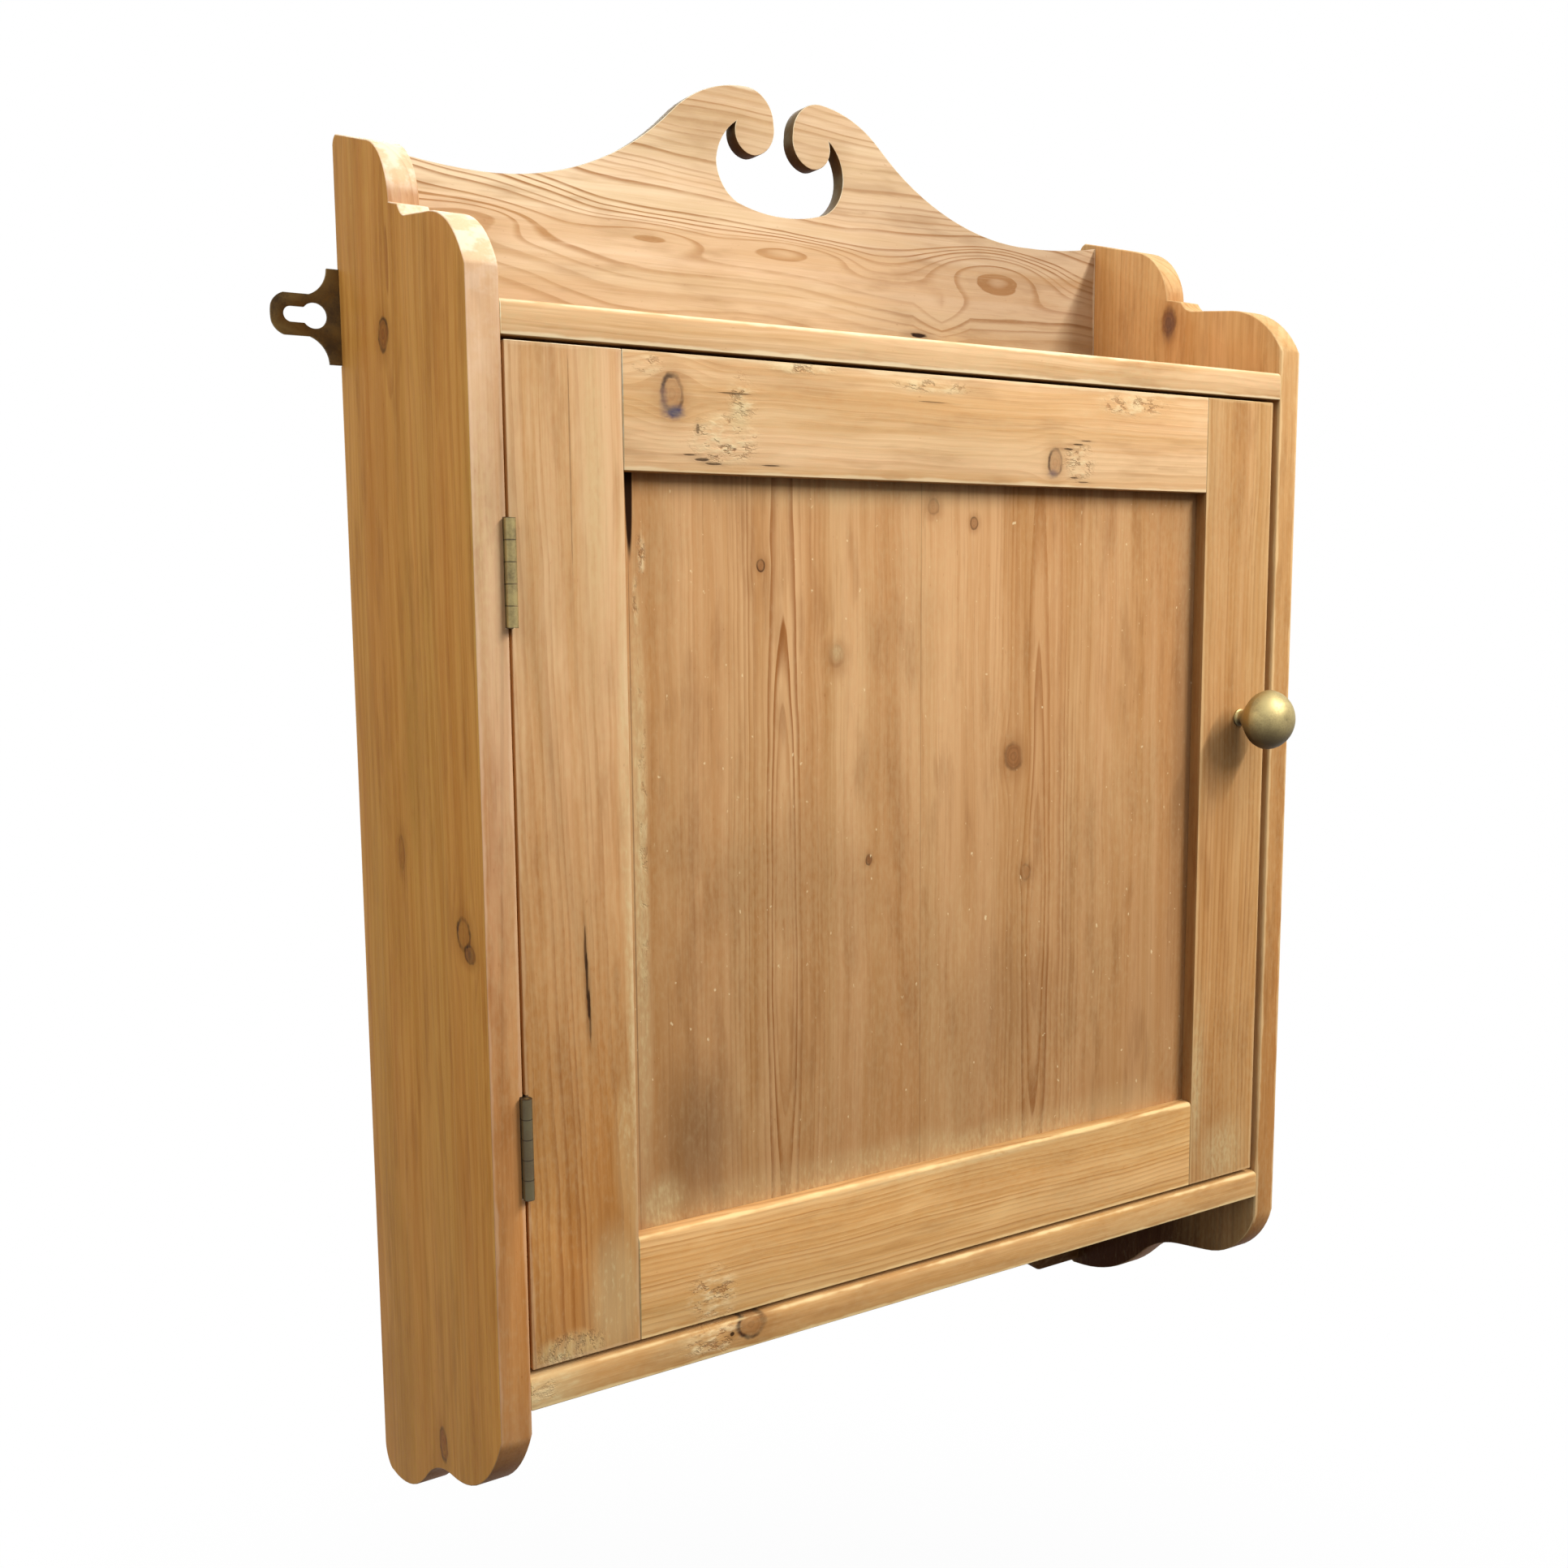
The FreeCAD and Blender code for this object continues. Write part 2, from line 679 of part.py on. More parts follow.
def leaf(label, centre, hand, knuckles, bore, screws):
    """One leaf: a plate let in flush, with its knuckles round the pin at its front edge."""
    bottom = f"({centre} - hinge_length/2)"
    knuckle = f"(hinge_length/{KNUCKLES})"
    face = f"({HINGE_X} + {hand}*gap_hinge/2)"
    plate_x = f"({face} - hinge_leaf)" if hand < 0 else face
    clear = "(barrel_radius + barrel_play)"
    plate = box(plate_x, f"{HINGE_Y} + {clear}", bottom,
                "hinge_leaf", f"{LEAF_BACK} - {HINGE_Y} - {clear}", "hinge_length")
    pieces = [plate]
    for index in knuckles:
        free = "0" if hand < 0 else "knuckle_play"
        low = f"({bottom} + {index}*{knuckle} + {free})"
        tall = f"({knuckle} - 2*{free})"
        pieces.append(rod(HINGE_X, HINGE_Y, low, "barrel_radius", tall))
        pieces.append(box(plate_x, HINGE_Y, low, "hinge_leaf", clear, tall))
    hole = rod(HINGE_X, HINGE_Y, f"{bottom} - {OVERCUT}", bore, f"hinge_length + 2*{OVERCUT}")
    keep(cut(fuse(pieces), [hole] + screws), label)


def hinge(name, centre, first_screw):
    last_screw = first_screw + len(LEAF_SCREWS)
    frame_tools = frame_screw_solids[first_screw:last_screw]
    door_tools = door_screw_solids[first_screw:last_screw]
    leaf(f"{name}_hinge_frame_leaf", centre, -1, range(0, KNUCKLES, 2), "pin_radius", frame_tools)
    leaf(f"{name}_hinge_door_leaf", centre, 1, range(1, KNUCKLES, 2),
         "pin_radius + pin_play", door_tools)
    pin = rod(HINGE_X, HINGE_Y, f"{centre} - hinge_length/2", "pin_radius", "hinge_length")
    keep(pin, f"{name}_hinge_pin")


# The knob, the catch and the hanger plates.

def knob():
    """A turned brass knob: a small foot, a short neck, a cone and a domed front."""
    body = new_body("knob_turning", KNOB_X)
    sketch = sketch_on(body, "XY_Plane", "knob_height")
    face = "door_set_back"
    outline = [
        ("0", face, 0),
        ("0.29*knob_radius", face, 0),
        ("0.29*knob_radius", f"{face} - 0.03*knob_reach", 60),
        ("0.23*knob_radius", f"{face} - 0.08*knob_reach", 0),
        ("0.24*knob_radius", f"{face} - 0.12*knob_reach", 0),
        ("0.86*knob_radius", f"{face} - 0.46*knob_reach", -40),
        ("knob_radius", f"{face} - 0.64*knob_reach", -42),
        ("0.72*knob_radius", f"{face} - 0.89*knob_reach", -50),
        ("0", f"{face} - knob_reach", 0),
    ]
    draw(sketch, outline)
    turned = body.newObject("PartDesign::Revolution", "Turning")
    turned.Profile = sketch
    turned.ReferenceAxis = (sketch, ["V_Axis"])
    turned.Angle = 360
    body.Tip = turned
    keep(cut(body, [knob_shank]), "knob")


def knob_fixing():
    head = rod(KNOB_X, DOOR_BACK, "knob_height", "1.9*knob_screw", "1.1*knob_screw", "+y")
    slot = box(f"{KNOB_X} - 2*knob_screw", f"{DOOR_BACK} + 0.7*knob_screw",
               "knob_height - 0.2*knob_screw", "4*knob_screw", "knob_screw", "0.4*knob_screw")
    keep(cut(fuse([knob_shank, head]), [slot]), "knob_screw")


def catch():
    """A magnetic catch under the top board and its steel keeper on the door."""
    low = f"({TOP_UNDER} - catch_high)"
    case = box(f"{CATCH_X} - catch_case/2", CATCH_FRONT, low,
               "catch_case", "catch_depth", "catch_high")
    flange = box(f"{CATCH_X} - catch_width/2", CATCH_FRONT, f"{TOP_UNDER} - catch_flange",
                 "catch_width", "catch_depth", "catch_flange")
    keep(cut(fuse([case, flange]), catch_screw_solids), "catch_magnet")
    plate = box(f"{CATCH_X} - catch_case/2", DOOR_BACK, f"{KEEPER_MIDDLE} - 0.35*catch_high",
                "catch_case", "keeper", "0.7*catch_high")
    keep(cut(plate, keeper_screw_solids), "catch_keeper")


def hanger(label, hand, screws):
    """A brass plate let into the back edge of a side, with a keyhole in its tab."""
    body = new_body(f"{label}_blank", f"{hand}*outer_width/2")
    sketch = sketch_on(body, "XZ_Plane", "-depth")
    inset = f"-{HANGER_INSET}"
    out = [(inset, "0.5*hanger_base", 0), (inset, "-0.5*hanger_base", 0)]
    out += [("hanger_shoulder", "-0.5*hanger_base", -70), ("0.45*hanger_reach", "-0.5*hanger_tab", 0)]
    out += [("0.82*hanger_reach", "-0.5*hanger_tab", 55), ("hanger_reach", "-0.2*hanger_tab", 20)]
    out += [("hanger_reach", "0.2*hanger_tab", 55), ("0.82*hanger_reach", "0.5*hanger_tab", 0)]
    out += [("0.45*hanger_reach", "0.5*hanger_tab", -70), ("hanger_shoulder", "0.5*hanger_base", 0)]
    raised = [(f"{hand}*({x})", f"{HANG_HEIGHT} + {z}", hand * turn) for x, z, turn in out]
    pad(body, draw(sketch, raised), "hanger_thick")
    eye_x = f"({hand}*(outer_width/2 + eye_from_side))"
    end_x = f"({hand}*(outer_width/2 + slot_reach - slot_width/2))"
    front = f"depth - hanger_thick - {OVERCUT}"
    through = f"hanger_thick + 2*{OVERCUT}"
    eye = rod(eye_x, front, HANG_HEIGHT, "eye_radius", through, "+y")
    end = rod(end_x, front, HANG_HEIGHT, "slot_width/2", through, "+y")
    slot = box(eye_x if hand > 0 else end_x, front, f"{HANG_HEIGHT} - slot_width/2",
               "slot_reach - slot_width/2 - eye_from_side", through, "slot_width")
    keep(cut(body, [eye, end, slot] + screws), label)


def screw_groups():
    ways = (
        ("hinge_frame_screws", frame_screw_solids, frame_screws, "-x"),
        ("hinge_door_screws", door_screw_solids, door_screws, "+x"),
        ("hanger_screws", hanger_screw_solids, hanger_screws, "-y"),
        ("catch_screws", catch_screw_solids, catch_screws, "+z"),
        ("keeper_screw", keeper_screw_solids, keeper_screws, "-y"),
    )
    for label, solids, spots, way in ways:
        done = [slotted(solid, *spot, way) for solid, spot in zip(solids, spots)]
        keep(group(done) if len(done) > 1 else done[0], label)
    done = []
    for place, spots in batten_screws.items():
        for solid, spot in zip(batten_screw_solids[place], spots):
            done.append(slotted(solid, *spot, "+x"))
    keep(group(done), "batten_screws")
    keep(group(lower_nails + upper_nails), "back_nails")


side("left_side", -1)
side("right_side", 1)
case_board("top_board", TOP_UNDER, "board", catch_screw_solids + upper_nails)
case_board("bottom_board", "0", "bottom_board", lower_nails)
gable()
apron()
back_boards()
shelves()
door_stop()
stile("hinge_stile", DOOR_LEFT, OPENING_LEFT, hinge_recess_in_door() + door_screw_solids)
stile("knob_stile", OPENING_RIGHT, OPENING_RIGHT, [knob_shank] + keeper_screw_solids)
bottom_tenon, top_tenon = tenon_heights()
rail("bottom_rail", DOOR_BOTTOM, OPENING_BOTTOM, bottom_tenon, f"{OPENING_BOTTOM} - groove")
rail("top_rail", OPENING_TOP, DOOR_TOP, top_tenon, OPENING_TOP)
door_panel()
for number, (name, centre) in enumerate(HINGES.items()):
    hinge(name, centre, number * len(LEAF_SCREWS))
knob()
knob_fixing()
catch()
hanger("left_hanger", -1, hanger_screw_solids[:2])
hanger("right_hanger", 1, hanger_screw_solids[2:])
screw_groups()

doc.recompute()

for thing in doc.Objects:
    if "Invalid" in thing.State or "Error" in thing.State:
        raise RuntimeError(f"{thing.Label} failed: {thing.State}")
for thing in nodes:
    if thing.Shape.isNull() or not thing.Shape.isValid():
        raise RuntimeError(f"{thing.Label} has no valid shape")

os.makedirs("parts", exist_ok=True)
for thing in nodes:
    thing.Shape.exportStep(f"parts/{thing.Label}.step")
    print(thing.Label, len(thing.Shape.Solids), round(thing.Shape.Volume))
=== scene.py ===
"""A wall cabinet in stripped and waxed pine: worn boards, brass hinges, a brass knob and hanger plates."""

from math import radians
from typing import NamedTuple

import bmesh
import bpy
from mathutils import Matrix, Vector


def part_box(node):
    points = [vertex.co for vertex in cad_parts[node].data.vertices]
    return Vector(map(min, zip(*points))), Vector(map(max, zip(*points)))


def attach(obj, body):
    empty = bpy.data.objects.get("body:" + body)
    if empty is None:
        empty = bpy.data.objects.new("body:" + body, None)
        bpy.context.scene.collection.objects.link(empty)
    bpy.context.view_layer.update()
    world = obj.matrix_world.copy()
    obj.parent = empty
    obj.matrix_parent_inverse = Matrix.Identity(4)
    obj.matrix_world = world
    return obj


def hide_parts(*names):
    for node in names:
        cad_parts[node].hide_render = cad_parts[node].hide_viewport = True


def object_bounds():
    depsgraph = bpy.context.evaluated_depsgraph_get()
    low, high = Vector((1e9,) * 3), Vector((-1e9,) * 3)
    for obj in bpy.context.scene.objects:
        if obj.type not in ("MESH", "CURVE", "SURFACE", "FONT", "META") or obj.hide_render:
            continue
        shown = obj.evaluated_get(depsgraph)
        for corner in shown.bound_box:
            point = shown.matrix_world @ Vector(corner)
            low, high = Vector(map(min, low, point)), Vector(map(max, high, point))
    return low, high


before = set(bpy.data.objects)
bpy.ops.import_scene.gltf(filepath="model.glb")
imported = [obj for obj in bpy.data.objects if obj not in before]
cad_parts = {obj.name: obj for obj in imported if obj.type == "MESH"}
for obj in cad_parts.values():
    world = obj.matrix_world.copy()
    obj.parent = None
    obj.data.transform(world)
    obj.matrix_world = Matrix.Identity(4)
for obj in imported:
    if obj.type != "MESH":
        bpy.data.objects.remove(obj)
cad_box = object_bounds()

MM = 0.001
AXES = "xyz"
# Edges that turn more than SHARP_TURN are arrises, and those that turn less than SMOOTH_TURN are shaded
# smooth. Facets that turn less than FLAT_TURN are joined.
SHARP_TURN = radians(35)
SMOOTH_TURN = radians(30)
FLAT_TURN = radians(1.0)
# How near points lie that are the same, or on the same level.
SAME_POINT = 0.01 * MM
SAME_LEVEL = 0.05 * MM

# How deep into the wood a mark reaches, in mm.
SPOT_DEPTH = 30.0
# Where a board's lower end begins and where it is in full, in metres from the board's middle.
FOOT_FADE = (0.2, -0.2)
# The cosine at which an edge begins to turn into a broad face, and has become one.
FACE_TURN = (0.55, 0.9)
# How far from an arris chafing wanders, and how far it fades.
CHAFE_SPREAD = 5.5 * MM
CHAFE_FADE = 1.6 * MM

# Colours as a finisher would name them, written as display values.
PALE_WOOD = "deb27e"
EARLY_WOOD = "d0a16e"
LATE_WOOD = "9a6233"
AMBER_WAX = "ba844c"
BROWN_WAX = "946235"
END_GRAIN = "f2d8a4"
END_PORES = "e3bd82"
# Pale arris: partly rubbed wear and partly a painted highlight.
WORN_ARRIS = "e6c592"
LIME_RESIDUE = "d2bc8c"
KNOT_HEART = "8f5c35"
KNOT_RIM = "4a2f1f"
CRACK_DARK = "2c1a0e"
SMUDGE = "4b4045"
TORN_PALE = "efd9aa"
GRIME = "4a2814"
MOULDED_DARK = "4a3526"
MOULDED_LIGHT = "5b4331"
BRASS_TARNISH = "4d3d26"

# A tint that old wax gives the wood, and one for painted shade on faces that look down.
OLIVE_TINT = (0.86, 0.92, 0.85)
UNDERSIDE_DIRT = (0.6, 0.5, 0.38)


def colour(code, tint=(1.0, 1.0, 1.0)):
    """Turns a display colour into the linear values that a shader takes, each multiplied by its tint."""
    values = [int(code[i:i + 2], 16) / 255 for i in (0, 2, 4)]
    linear = [v / 12.92 if v <= 0.04045 else ((v + 0.055) / 1.055) ** 2.4 for v in values]
    return (*(min(v * t, 1.0) for v, t in zip(linear, tint)), 1.0)


class Shade:
    """A node's output that can be used in sums: each operator adds a Math node to its tree."""

    def __init__(self, tree, output):
        self.tree = tree
        self.output = output

    def node(self, kind, settings, inputs, output=0):
        """Adds a node of this kind, with its settings first and then its sockets' values or links."""
        made = self.tree.nodes.new(kind)
        for name, setting in settings.items():
            setattr(made, name, setting)
        for name, given in inputs.items():
            if isinstance(given, Shade):
                self.tree.links.new(given.output, made.inputs[name])
            else:
                made.inputs[name].default_value = given
        return Shade(self.tree, made.outputs[output])

    def also(self, output):
        """Another output of the same node."""
        return Shade(self.tree, self.output.node.outputs[output])

    def math(self, operation, *others):
        """A Math node on this value and the others."""
        return self.node("ShaderNodeMath", {"operation": operation}, dict(enumerate((self, *others))))

    def __add__(self, other):
        return self.math("ADD", other)

    def __sub__(self, other):
        return self.math("SUBTRACT", other)

    def __rsub__(self, other):
        return self.math("MULTIPLY_ADD", -1.0, other)

    def __mul__(self, other):
        return self.math("MULTIPLY", other)

    def __truediv__(self, other):
        return self.math("DIVIDE", other)

    def __abs__(self):
        return self.math("ABSOLUTE")

    __radd__ = __add__
    __rmul__ = __mul__

    def scaled(self, factor, shift):
        """This value times a factor, plus a shift."""
        return self.math("MULTIPLY_ADD", factor, shift)

    def rise(self, low, high):
        """Goes smoothly from 0 at low to 1 at high."""
        return self.node(
            "ShaderNodeMapRange",
            {"interpolation_type": "SMOOTHSTEP"},
            {"Value": self, "From Min": low, "From Max": high},
        )

    def mix(self, first, second):
        """The colour between first and second, by this share of the second."""
        return self.node("ShaderNodeMix", {"data_type": "RGBA"}, {0: self, 6: first, 7: second}, 2)

    def stretched(self, factors, shift=(0.0, 0.0, 0.0)):
        """This place with its three values multiplied and shifted."""
        return self.node(
            "ShaderNodeVectorMath",
            {"operation": "MULTIPLY_ADD"},
            {0: self, 1: factors, 2: shift},
        )

    def noise(self, detail=2.0, roughness=0.5):
        """Smooth noise about 0.5 at this place."""
        return self.node(
            "ShaderNodeTexNoise",
            {},
            {"Vector": self, "Scale": 1.0, "Detail": detail, "Roughness": roughness},
        )


def new_finish(name):
    """A material with its Principled shader, and the place on the piece that its pattern starts from."""
    material = bpy.data.materials.new(name)
    material.use_nodes = True
    tree = material.node_tree
    shader = tree.nodes["Principled BSDF"]
    place = Shade(tree, tree.nodes.new("ShaderNodeTexCoord").outputs["Object"])
    return material, shader, place


def put(shader, **inputs):
    """Sets or links the shader's sockets; a name's underscores stand for spaces."""
    for name, given in inputs.items():
        socket = shader.inputs[name.replace("_", " ")]
        if isinstance(given, Shade):
            given.tree.links.new(given.output, socket)
        else:
            socket.default_value = given


def largest(first, second):
    """The larger of two values."""
    return first.math("MAXIMUM", second)


def smallest(first, second):
    """The smaller of two values."""
    return first.math("MINIMUM", second)


def swell(reach):
    """A smooth hump: 1 at the middle of a spot, and nothing well outside it."""
    return (reach * reach * -1.0).math("EXPONENT")


class Streaks(NamedTuple):
    """Noise in the wood: its own number, its waves to the metre along and across, and its fineness."""

    number: int
    along: float
    across: float
    detail: float = 2.0
    roughness: float = 0.5


# How the fibres and the growth rings wander, and how far the fibres do.
RIPPLE = Streaks(20, 4.0, 10.0)
RIPPLE_SIZE = 8 * MM
FINE_RIPPLE = Streaks(21, 17.0, 24.0)
FINE_RIPPLE_SIZE = 3 * MM
RING_DRIFT = Streaks(1, 2.2, 9.0)
RING_WANDER = Streaks(2, 5.5, 2.0, 1.0)
RING_WAVER = Streaks(3, 20.0, 160.0)
RING_WAVER_SIZE = 0.9 * MM
RING_FADE = Streaks(13, 1.2, 14.0)
# Rings differ in width: waves of it to the metre, and by how many rings they shift the count.
WIDTH_WAVES = 70.0
WIDTH_SHIFT = 1.8
# Wax and stain in the wood.
FIBRE = Streaks(4, 14.0, 900.0, 3.0, 0.6)
STREAK = Streaks(5, 1.3, 42.0, 2.0, 0.55)
THREAD = Streaks(12, 5.0, 190.0, 2.0, 0.6)
MOTTLE = Streaks(19, 14.0, 75.0, 3.0, 0.6)
BLOTCH = Streaks(6, 5.0, 9.0, 3.0, 0.55)
SPECK = Streaks(7, 160.0, 420.0, 2.0, 0.6)
OLIVE_BAND = Streaks(22, 1.6, 30.0, 2.0, 0.6)
# Marks and wear.
WOBBLE = Streaks(8, 60.0, 60.0)
FINE_WOBBLE = Streaks(24, 260.0, 260.0)
BROKEN_RIM = Streaks(15, 75.0, 75.0)
LIFTED = Streaks(14, 75.0, 190.0, 3.0, 0.65)
CREASE = Streaks(16, 70.0, 150.0, 4.0, 0.7)
CREASE_GAP = Streaks(25, 90.0, 130.0)
PAINT_DOT = Streaks(23, 170.0, 240.0)
CHAFE = Streaks(9, 30.0, 40.0, 3.0, 0.6)
END_PORE = Streaks(10, 1100.0, 1100.0)
END_SCUFF = Streaks(18, 70.0, 70.0, 3.0, 0.6)
CRACK_EDGE = Streaks(11, 60.0, 200.0, 3.0, 0.6)
# Tarnish, grit and scratches on metal, the grain of plastic and the floor's mottle, in waves to the metre.
CLOUD_WAVES = (60.0,) * 3
GRIT_WAVES = (900.0,) * 3
SCRATCH_WAVES = (240.0, 240.0, 1900.0)
MOULDED_WAVES = (1400.0,) * 3
FLOOR_WAVES = (3.0,) * 3


class Spot(NamedTuple):
    """A mark on a board: its place along and across from the board's middle and its half sizes, in mm.

    strength is how strongly it shows, or how far an eye or a fold moves the growth rings, in mm.
    heart is how dark the middle of a knot is.
    """

    along: float
    across: float
    half_along: float
    half_across: float
    strength: float
    heart: float = 0.0


def spots(marks):
    """The spots that a list of marks describes."""
    return [Spot(*mark) for mark in marks]


class Look(NamedTuple):
    """How the pine of one board looks. Lengths are in mm, and each mark lists the numbers of a Spot.

    pith is how far the heart of the tree lies across from the board's middle and behind the face, and
    second a glue line across the board and the pith of the plank beyond it. ring is the width of a ring
    and line the share of it that is early wood. taper tilts the rings along the board, and sway and heave
    bend them across and in depth, by wave bends to the metre. contrast is how dark they are, and
    foot_contrast the same at the board's lower end. figure is how far from the pith line they stay bold;
    without it they are bold about the eyes. Eyes close the rings into ovals, folds dip them into a sharp
    point, and knots push the fibres aside.

    threads, mottled, patchy and hue say how strongly fine streaks, short figure, broad stains and olive
    bands show, and pale, dots, edge_wear and bare_ends how much lime, flecks of paint, pale
    arris and clean end grain there is; the pale arris is partly rubbed wear and partly a painted highlight
    where light catches it. sheen is the gloss of the wax.

    tint multiplies the whole board's colour, and face_tint that of its two broad faces as painted
    light and shade: it darkens a face in shade and brightens a lit one. foot_tint darkens its lower
    end as painted shade, where the light falls off downwards; on a board with a face_tint it
    darkens the edges alone. sawn_tint darkens the edges as painted shade, and top_tint the faces that
    look up. Bleached, grimy, limed, smudged and torn places, cracks and seams are marks; the
    grimy places are grime, and on the right side's foot painted shade.
    """

    pith: tuple
    second: tuple = None
    ring: float = 4.0
    line: float = 0.3
    taper: float = 0.012
    sway: float = 5.0
    heave: float = 8.0
    wave: float = RING_DRIFT.along
    contrast: float = 0.75
    foot_contrast: float = None
    figure: float = None
    eyes: tuple = ()
    folds: tuple = ()
    knots: tuple = ()
    threads: float = 0.5
    mottled: float = 0.35
    patchy: float = 0.4
    hue: float = 0.4
    pale: float = 0.15
    dots: float = 0.0
    edge_wear: float = 1.0
    bare_ends: float = 0.9
    sheen: float = 0.03
    tint: tuple = (1.0, 1.0, 1.0)
    face_tint: tuple = None
    foot_tint: tuple = None
    sawn_tint: tuple = None
    top_tint: tuple = None
    bleached: tuple = ()
    grimy: tuple = ()
    limed: tuple = ()
    smudged: tuple = ()
    torn: tuple = ()
    cracks: tuple = ()
    seams: tuple = ()


class Plank:
    """One pine board while its finish is being built: places on it, streaks in it and its colour so far."""

    def __init__(self, name, node, grain, face, seed, tint):
        self.material, self.shader, self.place = new_finish(name)
        self.seed = seed
        self.tint = tint
        low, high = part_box(node)
        middle = (low + high) / 2
        self.half = (high - low) / 2
        self.length_axis = AXES.index(grain)
        self.depth_axis = AXES.index(face[1])
        width_axis = 3 - self.length_axis - self.depth_axis
        self.outward = -1 if face[0] == "-" else 1
        split = self.place.node("ShaderNodeSeparateXYZ", {}, {0: self.place})
        self.parts = [split.also(axis) - middle[axis] for axis in range(3)]
        self.along = self.parts[self.length_axis]
        self.across = self.parts[width_axis]
        self.deep = self.parts[self.depth_axis].scaled(-self.outward, self.half[self.depth_axis])
        depth = self.deep / (SPOT_DEPTH * MM)
        self.depth_square = depth * depth
        self.low_end = self.along.rise(*FOOT_FADE)
        normal = self.place.node("ShaderNodeSeparateXYZ", {}, {0: self.place.also("Normal")})
        self.facing = [normal.also(axis) for axis in range(3)]
        self.wood = None
        self.height = None
        self.made = {}
        self.fibres = self.place
        self.ripple = self.uneven(RIPPLE, RIPPLE_SIZE) + self.uneven(FINE_RIPPLE, FINE_RIPPLE_SIZE)
        aside = self.place.node("ShaderNodeCombineXYZ", {}, {width_axis: self.ripple})
        self.fibres = self.place.node(
            "ShaderNodeVectorMath",
            {"operation": "ADD"},
            {0: self.place, 1: aside},
        )

    def streaks(self, pattern):
        """Noise squeezed across the fibres, so that it runs in streaks. A board has each pattern once.

        The shift starts every board and pattern at a place of its own in the noise.
        """
        if pattern not in self.made:
            factors = [pattern.across] * 3
            factors[self.length_axis] = pattern.along
            shift = (self.seed * 3.7, pattern.number * 5.3, self.seed * 1.9 + pattern.number)
            squeezed = self.fibres.stretched(factors, shift)
            self.made[pattern] = squeezed.noise(pattern.detail, pattern.roughness)
        return self.made[pattern]

    def uneven(self, pattern, size):
        """A pattern's noise about 0, of this size."""
        return (self.streaks(pattern) - 0.5) * size

    def reach(self, spot, along_factor=1.0, across_factor=1.0):
        """Distance from a spot's middle in units of its half sizes, so that 1 is its rim."""
        half_along = spot.half_along * along_factor * MM
        half_across = spot.half_across * across_factor * MM
        da = self.along.scaled(1 / half_along, -spot.along * MM / half_along)
        dc = self.across.scaled(1 / half_across, -spot.across * MM / half_across)
        return da.math("MULTIPLY_ADD", da, dc.math("MULTIPLY_ADD", dc, self.depth_square)).math("SQRT")

    def broad_faces(self):
        """1 on the board's two broad faces and 0 on its edges."""
        return abs(self.facing[self.depth_axis]).rise(*FACE_TURN)

    def show_face(self):
        """1 on the board's show face alone."""
        return (self.facing[self.depth_axis] * self.outward).rise(*FACE_TURN)

    def stain(self, code):
        return colour(code, self.tint)

    def lay(self, share, code):
        """Lays a stain over the colour so far, by this share."""
        self.wood = share.mix(self.wood, self.stain(code))

    def cover(self, share, code):
        """Covers the colour so far with a plain colour that takes no tint, by this share."""
        self.wood = share.mix(self.wood, colour(code))

    def deepen(self, share, tint):
        """Multiplies the colour so far by a tint, by this share."""
        self.wood = share.node(
            "ShaderNodeMix",
            {"data_type": "RGBA", "blend_type": "MULTIPLY"},
            {0: share, 6: self.wood, 7: (*tint, 1.0)},
            2,
        )


def growth_rings(plank, look):
    """Late wood of the growth rings about the pith line: thin lines with a sharp outer side."""
    bent = plank.across + plank.ripple
    for spot in spots(look.knots):
        bent = bent - (plank.across - spot.across * MM) * swell(plank.reach(spot, 3.4, 2.0))
    drift = plank.uneven(RING_DRIFT._replace(along=look.wave), look.sway * 2 * MM)
    wander = plank.uneven(RING_WANDER, look.heave * 2 * MM)
    heart_line = look.pith[0] * MM
    if look.second:
        beyond = plank.across.math("GREATER_THAN", look.second[0] * MM)
        heart_line = beyond.scaled((look.second[1] - look.pith[0]) * MM, heart_line)
    side = bent + drift - heart_line
    behind = plank.deep + wander + look.pith[1] * MM
    radius = (side * side + behind * behind).math("SQRT") + plank.along * look.taper
    for spot in spots(look.eyes):
        radius = radius - swell(plank.reach(spot)) * (spot.strength * MM)
    for spot in spots(look.folds):
        away = abs(plank.along - spot.along * MM)
        dip = away.scaled(-1 / (spot.half_along * MM), 1.0).math("MAXIMUM", 0.0)
        level = swell((plank.across - spot.across * MM) / (spot.half_across * MM))
        radius = radius + dip * level * (spot.strength * MM)
    width = radius.node(
        "ShaderNodeTexNoise",
        {"noise_dimensions": "1D"},
        {"W": radius.scaled(WIDTH_WAVES, plank.seed), "Scale": 1.0, "Detail": 1.0},
    )
    wavering = radius + plank.uneven(RING_WAVER, RING_WAVER_SIZE)
    count = wavering / (look.ring * MM) + width * WIDTH_SHIFT
    turn = count.math("FRACT")
    year = count.node("ShaderNodeTexWhiteNoise", {"noise_dimensions": "1D"}, {"W": count.math("FLOOR")})
    fade = plank.streaks(RING_FADE).rise(0.32, 0.62).scaled(0.65, 0.35)
    late = turn.rise(look.line, 0.88) * turn.rise(1.0, 0.92) * year.scaled(0.8, 0.3) * fade
    if look.figure:
        late = late * swell(side / (look.figure * MM)).scaled(0.85, 0.15)
    elif look.eyes:
        bold, *others = [swell(plank.reach(spot, 1.6, 2.6)) for spot in spots(look.eyes)]
        for other in others:
            bold = largest(bold, other)
        late = late * bold.scaled(0.7, 0.3)
    return late


